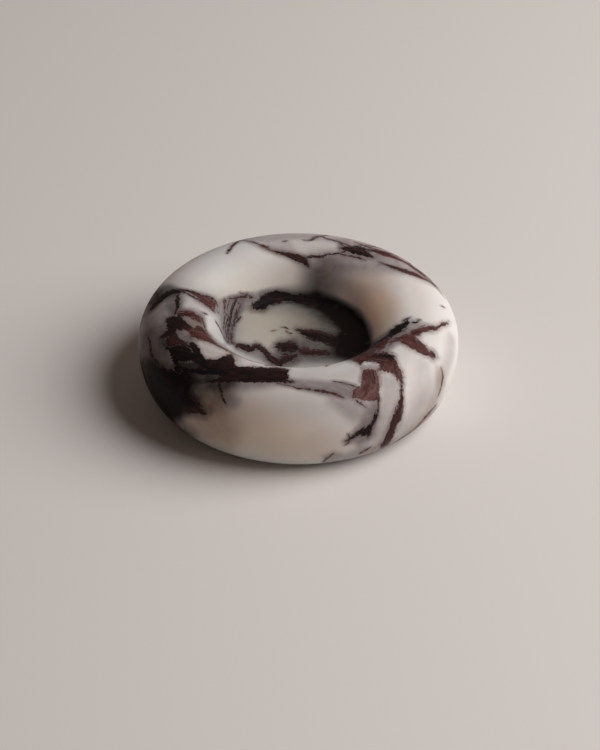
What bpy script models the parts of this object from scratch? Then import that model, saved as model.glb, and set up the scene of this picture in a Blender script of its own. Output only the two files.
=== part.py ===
"""A round marble tray that stands on four felt pads.

One block of stone is turned outside to a full, round ring, and a round well is carved into its top.
The ring and the floor of the well are the same stone. Its flat underside carries the pads.
Metres, with +Z up. The origin is the middle of the footprint, on the surface that the tray stands on.
"""

import math

import bpy

# The whole tray
TRAY_DIAMETER = 0.170
TRAY_HEIGHT = 0.050

# The ring's section, measured from its widest line and from its crest
CREST_INSET = 0.0246
CREST_RISE = 0.0219
UNDERSIDE_INSET = 0.0160
LIP_REACH = 0.0260
LIP_DROP = 0.0440

# The well
WELL_DEPTH = 0.0215
WELL_FILLET_RADIUS = 0.0050

# The felt pads
PAD_DIAMETER = 0.0140
PAD_THICKNESS = 0.0015
PAD_EDGE_INSET = 0.0120
PAD_EDGE_ROUNDING = 0.0003
GLUE_LINE = 0.0003

# How full the curves are: 2 is an ellipse, and more is squarer
OUTER_FULLNESS = 2.2
LIP_FULLNESS = 2.0

# How finely the curves are cut
TURN_STEPS = 72
CURVE_STEPS = 11
FILLET_STEPS = 5
PAD_SIDES = 32
PAD_EDGE_STEPS = 2
SEARCH_STEPS = 40
MERGE_DISTANCE = 0.00001

PAD_COUNT = 4
COLLECTION_NAME = "marble_tray"

# What follows from the sizes above
WIDEST_RADIUS = TRAY_DIAMETER / 2
CREST_RADIUS = WIDEST_RADIUS - CREST_INSET
WIDEST_HEIGHT = TRAY_HEIGHT - CREST_RISE
UNDERSIDE_RADIUS = WIDEST_RADIUS - UNDERSIDE_INSET
UNDERSIDE_HEIGHT = PAD_THICKNESS + GLUE_LINE
FLOOR_HEIGHT = TRAY_HEIGHT - WELL_DEPTH
PAD_CIRCLE_RADIUS = UNDERSIDE_RADIUS - PAD_EDGE_INSET - PAD_DIAMETER / 2


def clear_scene():
    for thing in list(bpy.data.objects):
        bpy.data.objects.remove(thing, do_unlink=True)


def make_collection():
    collection = bpy.data.collections.new(COLLECTION_NAME)
    bpy.context.scene.collection.children.link(collection)
    return collection


def move_to(collection, thing):
    for owner in list(thing.users_collection):
        owner.objects.unlink(thing)
    collection.objects.link(thing)


def plain_material(name, colour, roughness):
    material = bpy.data.materials.new(name)
    material.use_nodes = True
    shader = material.node_tree.nodes["Principled BSDF"]
    shader.inputs["Base Color"].default_value = colour
    shader.inputs["Roughness"].default_value = roughness
    shader.inputs["Metallic"].default_value = 0.0
    return material


def marble_material():
    return plain_material("honed_marble", (0.66, 0.61, 0.54, 1.0), 0.42)


def felt_material():
    return plain_material("grey_felt", (0.16, 0.15, 0.14, 1.0), 0.95)


def full_quarter(angle, fullness):
    """The cosine and sine of an angle, drawn out to a squarer curve where the fullness is over 2."""
    power = 2.0 / fullness
    across = max(math.cos(angle), 0.0) ** power
    up = max(math.sin(angle), 0.0) ** power
    return across, up


def lip_point(angle):
    """A point on the inner wall: angle 0 is the crest, and a right angle is where it stands upright."""
    down, inward = full_quarter(angle, LIP_FULLNESS)
    return CREST_RADIUS - LIP_REACH * inward, TRAY_HEIGHT - LIP_DROP * (1.0 - down)


def lip_normal(angle):
    """The direction out of the stone, into the well, at the same point."""
    down, inward = full_quarter(angle, LIP_FULLNESS)
    power = LIP_FULLNESS - 1.0
    towards_axis = (inward ** power) / LIP_REACH
    upward = (down ** power) / LIP_DROP
    length = math.hypot(towards_axis, upward)
    return -towards_axis / length, upward / length


def fillet_centre(angle):
    """The centre of a fillet that touches the inner wall at this angle."""
    radius, height = lip_point(angle)
    outward, upward = lip_normal(angle)
    return radius + WELL_FILLET_RADIUS * outward, height + WELL_FILLET_RADIUS * upward


def lowest_lip_angle():
    """Where the inner wall meets the fillet, whose centre lies one radius above the floor."""
    wanted = FLOOR_HEIGHT + WELL_FILLET_RADIUS
    low, high = 0.0, math.pi / 2
    for _ in range(SEARCH_STEPS):
        middle = (low + high) / 2
        if fillet_centre(middle)[1] > wanted:
            low = middle
        else:
            high = middle
    return (low + high) / 2


def fillet_points(lip_angle):
    """From the floor up to the inner wall."""
    centre_radius = fillet_centre(lip_angle)[0]
    centre_height = FLOOR_HEIGHT + WELL_FILLET_RADIUS
    outward, upward = lip_normal(lip_angle)
    last_turn = math.atan2(-outward, upward)
    points = []
    for step in range(FILLET_STEPS):
        turn = last_turn * step / FILLET_STEPS
        radius = centre_radius + WELL_FILLET_RADIUS * math.sin(turn)
        height = centre_height - WELL_FILLET_RADIUS * math.cos(turn)
        points.append((radius, height))
    return points


def lip_points(lip_angle):
    """From the fillet up to the crest."""
    points = []
    for step in range(CURVE_STEPS):
        points.append(lip_point(lip_angle * (1.0 - step / CURVE_STEPS)))
    return points


def outer_points():
    """From the crest over the widest line to the edge of the flat underside."""
    points = []
    for step in range(CURVE_STEPS):
        angle = math.pi / 2 * (1.0 - step / CURVE_STEPS)
        across, up = full_quarter(angle, OUTER_FULLNESS)
        points.append((CREST_RADIUS + CREST_INSET * across, WIDEST_HEIGHT + CREST_RISE * up))
    drop = WIDEST_HEIGHT - UNDERSIDE_HEIGHT
    for step in range(CURVE_STEPS + 1):
        angle = math.pi / 2 * step / CURVE_STEPS
        across, down = full_quarter(angle, OUTER_FULLNESS)
        points.append((UNDERSIDE_RADIUS + UNDERSIDE_INSET * across, WIDEST_HEIGHT - drop * down))
    return points


def tray_profile():
    lip_angle = lowest_lip_angle()
    middle_of_floor = [(0.0, FLOOR_HEIGHT)]
    middle_of_underside = [(0.0, UNDERSIDE_HEIGHT)]
    wall = fillet_points(lip_angle) + lip_points(lip_angle)
    return middle_of_floor + wall + outer_points() + middle_of_underside


def make_marble_body(collection, stand):
    profile = [(radius, 0.0, height) for radius, height in tray_profile()]
    edges = [(start, start + 1) for start in range(len(profile) - 1)]
    mesh = bpy.data.meshes.new("marble_body")
    mesh.from_pydata(profile, edges, [])
    body = bpy.data.objects.new("marble_body", mesh)
    collection.objects.link(body)
    turn = body.modifiers.new("turn", "SCREW")
    turn.axis = "Z"
    turn.steps = TURN_STEPS
    turn.render_steps = TURN_STEPS
    turn.use_smooth_shade = True
    turn.use_merge_vertices = True
    turn.merge_threshold = MERGE_DISTANCE
    mesh.materials.append(marble_material())
    body.parent = stand


def make_felt_pads(collection, stand):
    felt = felt_material()
    for number in range(PAD_COUNT):
        angle = 2.0 * math.pi * (number + 0.5) / PAD_COUNT
        bpy.ops.mesh.primitive_cylinder_add(
            vertices=PAD_SIDES,
            radius=PAD_DIAMETER / 2,
            depth=PAD_THICKNESS,
            location=(
                PAD_CIRCLE_RADIUS * math.cos(angle),
                PAD_CIRCLE_RADIUS * math.sin(angle),
                PAD_THICKNESS / 2,
            ),
        )
        pad = bpy.context.active_object
        pad.name = f"felt_pad_{number + 1}"
        pad.data.name = pad.name
        rounding = pad.modifiers.new("rounding", "BEVEL")
        rounding.width = PAD_EDGE_ROUNDING
        rounding.segments = PAD_EDGE_STEPS
        rounding.limit_method = "ANGLE"
        pad.data.shade_smooth()
        pad.data.set_sharp_from_angle(angle=math.radians(40.0))
        pad.data.materials.append(felt)
        move_to(collection, pad)
        pad.parent = stand


def main():
    clear_scene()
    collection = make_collection()
    stand = bpy.data.objects.new("tray_stand_point", None)
    collection.objects.link(stand)
    make_marble_body(collection, stand)
    make_felt_pads(collection, stand)


main()
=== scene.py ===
"""The looks of the round marble tray: veined stone, felt pads, the floor, the light and the camera."""

import math

import bpy
import numpy as np
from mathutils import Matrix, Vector
from mathutils.bvhtree import BVHTree
from mathutils.kdtree import KDTree


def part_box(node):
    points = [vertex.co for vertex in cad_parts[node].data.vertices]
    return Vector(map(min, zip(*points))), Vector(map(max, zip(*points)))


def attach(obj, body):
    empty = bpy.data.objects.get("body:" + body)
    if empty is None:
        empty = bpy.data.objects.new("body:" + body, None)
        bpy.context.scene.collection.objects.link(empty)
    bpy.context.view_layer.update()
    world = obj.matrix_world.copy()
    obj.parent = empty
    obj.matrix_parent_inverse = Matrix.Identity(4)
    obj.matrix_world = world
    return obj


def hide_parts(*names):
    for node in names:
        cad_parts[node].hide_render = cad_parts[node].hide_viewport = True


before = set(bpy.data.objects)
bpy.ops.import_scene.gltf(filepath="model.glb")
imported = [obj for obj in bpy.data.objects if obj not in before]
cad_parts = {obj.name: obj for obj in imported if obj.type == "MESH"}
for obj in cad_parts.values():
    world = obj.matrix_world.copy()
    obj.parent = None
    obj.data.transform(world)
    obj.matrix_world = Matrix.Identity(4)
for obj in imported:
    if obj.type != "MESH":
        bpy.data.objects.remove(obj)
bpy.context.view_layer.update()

# The photograph's camera
PHOTO_WIDTH = 600
PHOTO_HEIGHT = 750
LENS_MM = 124.3
SENSOR_MM = 36.0
CAMERA_PLACE = (0.0009, -1.1179, 0.8290)
CAMERA_PITCH_DEGREES = 36.4
CAMERA_ROLL_DEGREES = 0.19
CAMERA_CLIP_START = 0.05
RIGHT_ANGLE_DEGREES = 90.0

# The light: one broad soft lamp to the right, and a dim warm room
KEY_AZIMUTH_DEGREES = -4.0
KEY_HEIGHT_DEGREES = 43.0
KEY_DISTANCE = 2.2
KEY_WIDTH = 2.1
KEY_POWER = 54.0
KEY_COLOUR = (1.0, 0.99, 0.98)
ROOM_COLOUR = (1.0, 0.79, 0.67, 1.0)
ROOM_STRENGTH = 0.09

# The plain pale floor
FLOOR_WIDTH = 8.0
FLOOR_FINISH = {"Base Color": (0.78, 0.735, 0.71, 1.0), "Roughness": 0.85}

# The stone's section, as the solid has it
CREST_INSET = 0.0246
CREST_RISE = 0.0219
UNDERSIDE_INSET = 0.0160
LIP_REACH = 0.0260
LIP_DROP = 0.0440
WELL_DEPTH = 0.0215
WELL_FILLET = 0.0050
OUTER_FULLNESS = 2.2
LIP_FULLNESS = 2.0

# How finely the stone's cage is made
CAGE_SIDES = 118
CURVE_STEPS = 11
FILLET_STEPS = 3
FLOOR_STEPS = 11
UNDERSIDE_STEPS = 4
SMOOTHING_LEVELS = 2
SEARCH_STEPS = 40

stone_low, stone_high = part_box("marble_body")
WIDEST_RADIUS = stone_high[0]
CREST_HEIGHT = stone_high[2]
UNDERSIDE_HEIGHT = stone_low[2]
CREST_RADIUS = WIDEST_RADIUS - CREST_INSET
WIDEST_HEIGHT = CREST_HEIGHT - CREST_RISE
UNDERSIDE_RADIUS = WIDEST_RADIUS - UNDERSIDE_INSET
WELL_FLOOR_HEIGHT = CREST_HEIGHT - WELL_DEPTH

# How the veins are laid on the stone. Their fields are in millimetres.
MM = 1000.0
TRAY_MIDDLE_PIXEL = (300.0, 350.0)
NEAR_RIM_TOP_PIXEL = 341.0
OUTLINE_STEP = 0.5
OUTLINE_TRIES = 60
TRACE_STEP = 2.5
SECTION_STEP = 0.012
LEAST_PIXELS_PER_MM = 0.8
LEAST_LENGTH = 1e-12
LEAST_SQUARE = 1e-9
LONGEST_JUMP = 12.0
SEGMENTS_AT_ONCE = 10
FAR = 9.0
BROAD_REACH = 8.0
STRAND_REACH = 4.0
STRAND_CORE = 1.5
STRAND_SPACING = 4.5
STRAND_LAYERS = 4
RIBBON_LAYERS = 4
RIBBON_MARGIN = 3.0
MASS_REACH = 60.0
PATCH_MM_PER_PIXEL = 0.53
SEEN_TOLERANCE = 0.003
FACING_LIMIT = 0.2
WELL_BRINK = 0.008
NARROWING_SHARE = 0.30
CLEARED_SHARE = 0.4
STAIN_FADE = 14.0
EVENING_ROUNDS = 320

# The tone of a strand: how black it is
WINE = 0.0
BROWN = 0.45
BLACK = 1.0

# Where masses and hazes lie, and what the hazes are: lilac haze, earthy and rusty browns that also paint
# warm shade, smoky near-black that also paints shade, painted warm light and painted light
ANYWHERE = "anywhere"
RING = "ring"
WELL = "well"
LILAC = "lilac"
EARTH_AND_WARM_SHADE = "earth_and_warm_shade"
SMOKE_AND_SHADE = "smoke_and_shade"
RUST_AND_WARM_SHADE = "rust_and_warm_shade"
PAINTED_WARM_LIGHT = "painted_warm_light"
PAINTED_LIGHT = "painted_light"

# Strands traced on the photograph: tone, and points as x, y and half the width, in its pixels
STRANDS = {
    "far_crest_start": (BROWN, [(243, 240, 0.5), (250, 241.5, 0.5), (256, 243, 0.7), (262, 245.5, 0.9)]),
    "far_crest_knot": (WINE, [(261, 245, 0.6), (265, 247, 1.9), (269, 248.5, 0.9)]),
    "far_crest_vein": (0.5, [
        (268, 249, 0.7), (274, 251.3, 1.0), (280, 252.5, 1.1), (286, 254, 1.7), (292, 255.5, 1.8),
        (298, 257.5, 2.1), (303, 259.5, 2.6), (306.5, 263, 1.6), (309, 267, 0.6),
    ]),
    "crest_thread": (0.8, [
        (302, 257.5, 0.8), (306, 258, 0.7), (311, 256.6, 1.1), (316, 257, 0.8), (320, 257, 1.5),
        (323, 256.5, 0.9), (326, 255, 0.8), (332, 254.5, 0.7), (340, 253, 0.7), (345, 251, 0.6),
    ]),
    "crest_thread_below": (BROWN, [(340, 254, 0.6), (350, 256, 0.7), (358, 258, 0.7), (366, 260, 0.5)]),
    "far_thread": (BROWN, [(303, 240, 0.4), (309, 240.5, 0.5), (313, 238.5, 0.5), (318, 236.5, 0.4)]),
    "far_speck": (BLACK, [(283, 241.3, 0.5), (286.5, 241, 0.5)]),
    "far_edge": (BROWN, [
        (313, 237, 0.4), (320, 236, 0.6), (327, 239, 0.6), (335, 240.5, 0.6), (342, 243, 0.6),
        (350, 246, 0.7), (356, 249, 0.6), (362, 251, 0.6), (368, 254, 0.6), (371, 257, 0.5),
    ]),
    "net_upper": (BLACK, [
        (340, 243, 0.6), (345, 247, 0.9), (350, 247.5, 1.0), (356, 247, 1.4), (362, 248, 1.3),
        (368, 250, 1.2), (376, 251, 0.9), (384, 253, 0.9), (390, 256, 0.6),
    ]),
    "net_wine": (WINE, [(378, 253, 0.8), (384, 254.3, 1.5), (391, 256, 0.7)]),
    "far_right_edge": (BROWN, [
        (355, 242, 0.6), (365, 246, 0.8), (375, 249, 0.8), (385, 252, 0.8), (395, 255, 0.8),
        (402, 258, 0.8), (408, 262, 0.8), (415, 268, 0.8), (421, 272, 0.8), (428, 277, 0.8),
        (433, 283, 0.8), (438, 287, 0.7), (443, 293, 0.5),
    ]),
    "far_right_thread": (BROWN, [(405, 262, 0.5), (412, 267, 0.7), (418, 271, 0.7), (424, 275, 0.5)]),
    "right_crest_vein": (0.3, [
        (379, 262, 0.4), (384, 264, 0.6), (390, 266, 0.8), (396, 268, 1.3), (402, 270, 1.3),
        (409, 272, 1.1), (416, 274, 0.9), (423, 278, 0.8), (430, 282, 0.8), (436, 287, 0.6),
    ]),
    "right_speck": (WINE, [(441.5, 306.5, 0.5), (444.5, 307.5, 0.5)]),
    "left_band": (BLACK, [
        (152, 304, 1.6), (157, 303, 2.6), (163, 297, 2.6), (168, 293, 2.8), (176, 291.5, 2.2),
        (182, 291, 1.4),
    ]),
    "left_fan_upper": (0.7, [
        (178, 289, 0.8), (188, 291, 1.0), (195, 293, 1.1), (203, 296, 1.1), (210, 297.5, 1.0),
        (215, 300, 0.8), (217.5, 306, 0.5),
    ]),
    "left_fan_lower": (0.5, [
        (182, 291.5, 0.8), (188, 294, 0.8), (195, 297.5, 0.8), (201, 301, 0.8), (206, 304, 0.8),
        (211, 308, 0.6),
    ]),
    "left_fan_middle": (0.35, [(192, 293, 0.7), (199, 297, 0.9), (206, 300.5, 0.9), (213, 303, 0.7)]),
    "rusty_fall": (BLACK, [
        (177, 295, 0.5), (178, 298, 1.2), (176, 300.5, 0.9), (179, 303, 1.5), (177.5, 306, 1.8),
        (178, 309, 0.9), (175, 311.5, 0.6),
    ]),
    "left_speck": (BLACK, [(203, 312.8, 0.6), (207, 314, 0.6)]),
    "left_speck_beside": (BROWN, [(217.3, 311.5, 0.5), (218.8, 312.5, 0.5)]),
    "rim_line": (0.25, [
        (181, 311, 0.8), (191, 312, 0.9), (196, 315, 1.0), (201, 318, 1.0), (203, 322, 0.9),
        (205, 328, 0.9), (208.5, 335, 0.9), (213.5, 341, 0.9), (221, 346.5, 0.8), (230, 351.5, 0.8),
        (237, 355, 0.8), (244, 358, 0.7), (252, 361, 0.8), (260, 363, 0.9), (270, 365.5, 1.0),
        (279, 367.8, 1.1), (286, 369.3, 1.0),
    ]),
    "rim_line_below": (BROWN, [
        (181, 327, 0.5), (191, 333, 0.7), (199, 337.5, 0.9), (208, 339.5, 0.9), (214, 343, 0.8),
        (221, 348, 0.6),
    ]),
    "dark_lens": (BLACK, [(177, 314.5, 0.6), (181, 319, 1.6), (186, 324, 1.7), (192, 328, 0.7)]),
    "outline_brown": (BROWN, [(139.6, 350, 0.7), (141, 361, 0.9), (144.3, 370, 1.0), (147, 378.6, 0.9)]),
    "outline_line": (0.75, [
        (148, 338, 1.2), (150, 343, 1.5), (150.3, 352, 1.7), (153.5, 358, 1.6), (159, 364, 1.3),
    ]),
    "outline_inner": (BROWN, [(145.7, 356, 0.5), (145.2, 362, 0.7), (145.7, 368, 0.5)]),
    "wall_triangle": (0.2, [
        (224.5, 300.3, 1.8), (224.6, 305, 1.2), (224.5, 309, 0.7), (224.4, 313.5, 0.3),
    ]),
    "wall_dark_line": (0.8, [(215.7, 321.5, 0.5), (220, 328.5, 0.8), (223, 336, 0.6), (228, 343, 0.4)]),
    "wall_dark_blob": (0.6, [
        (228.5, 315.5, 0.6), (228.2, 318.5, 1.0), (226.5, 322.5, 0.7), (225.5, 328, 0.6), (226.5, 338, 0.5),
    ]),
    "wall_wine_blob": (0.4, [(236.5, 311, 0.6), (236.3, 315, 1.7), (237.5, 319, 0.7)]),
    "wall_fall": (0.55, [(241, 317, 0.7), (238, 320, 0.8), (234.5, 324, 0.6), (232.3, 330, 0.6)]),
    "floor_edge_line": (0.2, [
        (231.5, 333, 0.5), (231.3, 338, 0.8), (231.8, 342.5, 0.9), (235, 344.5, 0.8), (239, 347, 0.6),
    ]),
    "far_wall_tick": (0.3, [
        (229, 298, 0.5), (235, 298.5, 0.6), (240, 296.5, 0.9), (244, 297, 0.7), (247, 293.5, 0.5),
    ]),
    "far_wall_tick_above": (0.3, [(240, 292.5, 0.4), (244, 294, 0.5), (249, 295.5, 0.4)]),
    "short_vein": (0.85, [
        (218.3, 381, 1.4), (219.2, 386, 2.0), (220.8, 391, 1.9), (222.6, 396, 1.6), (224.3, 400.5, 1.1),
        (226.5, 404, 0.4),
    ]),
    "front_thin_vein": (0.2, [
        (276, 383, 0.4), (283, 384.5, 0.5), (290, 386, 0.6), (297, 388, 0.7), (310, 389.5, 0.8),
        (320, 390.8, 1.1), (327, 392.5, 1.4), (334, 394, 1.5), (340, 396, 1.4), (344, 398, 0.6),
    ]),
    "front_grey_thread": (BROWN, [(333, 381, 0.4), (340, 382, 0.5), (350, 384.5, 0.5), (357, 387, 0.4)]),
    "patch_tick": (0.5, [(356, 400, 0.8), (360, 403, 0.8), (366, 407, 0.5)]),
    "patch_tail": (0.5, [(379.3, 398, 0.9), (378.3, 405, 0.8), (378, 410, 0.8), (376, 416, 0.8)]),
    "long_vein": (0.55, [
        (401.5, 378, 0.9), (401.8, 386, 0.6), (402, 393, 0.6), (401.6, 400, 0.8), (400.4, 407, 1.1),
        (399, 415, 1.3), (396.8, 421, 1.3), (393.4, 429, 1.0), (389.8, 437, 1.0), (385.5, 443.5, 0.9),
        (381.8, 447.5, 0.5),
    ]),
    "black_rag_stem": (BLACK, [
        (376, 414, 0.7), (374.5, 420, 1.4), (371.5, 427, 1.6), (369, 433, 1.6), (367.5, 437, 0.7),
    ]),
    "black_rag_arm": (BLACK, [
        (371, 427, 1.4), (365, 431, 1.9), (359, 433.5, 1.9), (353, 438, 1.3), (345.5, 441, 0.7),
    ]),
    "black_rag_thread": (BLACK, [(347, 434, 0.3), (350, 437, 0.5), (349, 442, 0.4), (345, 445, 0.3)]),
    "right_rim_line": (BLACK, [
        (391, 333.5, 0.9), (387, 336, 0.9), (383, 339, 0.9), (377, 342.5, 1.0), (371, 347, 1.0),
        (367, 350.5, 0.8),
    ]),
    "right_wisp": (BLACK, [(403, 320.5, 0.5), (407, 318.5, 0.6), (410, 317, 0.4)]),
    "right_wisp_far": (BROWN, [(417.5, 320.2, 0.5), (420.5, 319.6, 0.5)]),
    "right_low_edge": (0.6, [
        (441, 368, 0.3), (442.8, 375, 0.5), (442.3, 381, 0.6), (440.5, 389, 0.4), (438, 396, 0.3),
    ]),
    "bottom_right_edge": (0.7, [
        (436, 405, 0.8), (430, 412, 1.3), (426, 416.5, 1.4), (420, 423.5, 1.2), (412, 431, 0.8),
        (400, 439, 0.6), (392, 444, 0.4),
    ]),
    "bottom_tick": (BROWN, [(360, 453.5, 0.7), (365, 450.5, 0.9), (370, 447.5, 0.6)]),
    "bottom_tick_left": (BROWN, [(333, 453.5, 0.5), (329, 456.5, 0.7), (326, 459, 0.7), (323.5, 462, 0.5)]),
    "floor_vein_upper": (0.5, [
        (296, 330, 0.6), (303, 330.8, 1.1), (311, 331, 1.2), (318, 332.2, 1.0), (325, 334.3, 0.9),
        (333, 335.5, 0.9),
    ]),
    "floor_dash": (0.6, [(281.5, 327.5, 0.5), (285, 327.2, 0.6), (289, 328.8, 0.4)]),
    "floor_dash_below": (0.25, [(285.5, 330.6, 0.5), (288, 332.6, 1.0), (292, 333.3, 0.7)]),
    "floor_pale_dash": (0.0, [(271.5, 331, 0.4), (276, 330.2, 0.4)]),
    "floor_squiggle": (0.45, [
        (238, 345, 0.6), (242, 346, 1.0), (246, 348.6, 1.1), (250, 349.3, 0.9), (253, 347.2, 0.8),
        (256, 345, 0.9), (259, 346.3, 0.9), (262, 348.8, 1.0), (265.5, 352.5, 1.1), (269, 356, 1.3),
        (272, 359.5, 1.1), (277, 364, 0.7),
    ]),
    "floor_squiggle_tick": (0.6, [(243.5, 343.8, 0.4), (246, 346, 0.6), (249, 349.5, 0.6)]),
    "front_band_tail": (BLACK, [(206, 381.3, 0.7), (211, 380.8, 0.9), (218, 380.2, 0.8)]),
    "front_band_end": (0.8, [(280, 381.2, 0.9), (287, 381.5, 1.6), (294, 382, 1.0)]),
    "crest_mass_edge": (0.3, [(352, 358.5, 0.8), (358, 357, 1.6), (364, 356, 1.8), (371, 356, 1.2)]),
    "crest_mass_streak": (0.2, [(357.5, 358, 1.3), (359.5, 361, 1.3), (361, 364, 0.8)]),
}

# Streaky ribbons traced on the photograph: tone, share covered, softness in mm, and points as in the strands
RIBBONS = {
    "left_band": (0.95, 0.85, 0.7, [
        (151, 309, 1.6), (155, 305, 2.0), (160, 300, 2.2), (166, 295, 2.2), (172, 292.5, 1.8),
        (180, 291, 1.0),
    ]),
    "left_fan_top": (0.30, 0.66, 0.4, [
        (182, 289.5, 0.8), (190, 291.5, 1.3), (198, 295, 2.0), (204, 298, 1.2),
    ]),
    "left_fan_low": (0.15, 0.55, 0.4, [
        (199, 299, 0.8), (205, 303.5, 1.6), (211, 308, 1.8), (215, 312, 0.8),
    ]),
    "left_column": (0.90, 0.60, 0.5, [
        (178, 292, 1.2), (178, 298, 2.2), (177.5, 304, 2.4), (177, 310, 2.0), (174, 315, 1.2),
    ]),
    "wall_left": (0.55, 0.38, 0.8, [
        (229, 299, 2.2), (227, 308, 2.6), (224.5, 320, 2.2), (223.5, 332, 1.8), (225, 342, 1.2),
    ]),
    "wall_middle": (0.55, 0.42, 0.8, [
        (236, 298, 2.6), (232.5, 308, 3.2), (229.5, 320, 3.0), (228, 332, 2.6), (229, 343, 1.6),
    ]),
    "wall_right": (0.30, 0.42, 0.8, [
        (243, 298, 2.2), (239, 307, 2.6), (235.5, 316, 2.4), (232.5, 326, 2.0), (231, 336, 1.6),
        (233, 344, 1.0),
    ]),
    "far_wall_left": (0.40, 0.42, 0.8, [
        (229, 299, 1.4), (237, 297.5, 2.2), (244, 296.5, 2.8), (252, 297.5, 3.0),
    ]),
    "net": (0.70, 0.58, 0.8, [
        (340, 248, 1.2), (349, 249, 3.2), (358, 251, 4.6), (366, 254, 4.2), (374, 258, 1.6),
    ]),
    "far_crest": (0.50, 0.82, 0.5, [
        (276, 252, 0.9), (284, 253.8, 1.8), (292, 256, 2.8), (299, 258.5, 3.4), (305, 262, 3.0),
        (309, 267, 0.9),
    ]),
    "far_right_edge": (0.35, 0.55, 0.5, [
        (372, 250, 1.4), (384, 253.5, 2.4), (395, 257.5, 1.8), (405, 262.5, 1.6), (415, 269, 1.6),
        (425, 276.5, 1.6), (434, 285, 1.0),
    ]),
    "right_crest": (0.30, 0.55, 0.5, [
        (384, 264, 0.8), (394, 267.5, 1.8), (404, 271, 2.2), (414, 274.5, 1.8), (424, 279, 1.2),
    ]),
}

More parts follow.
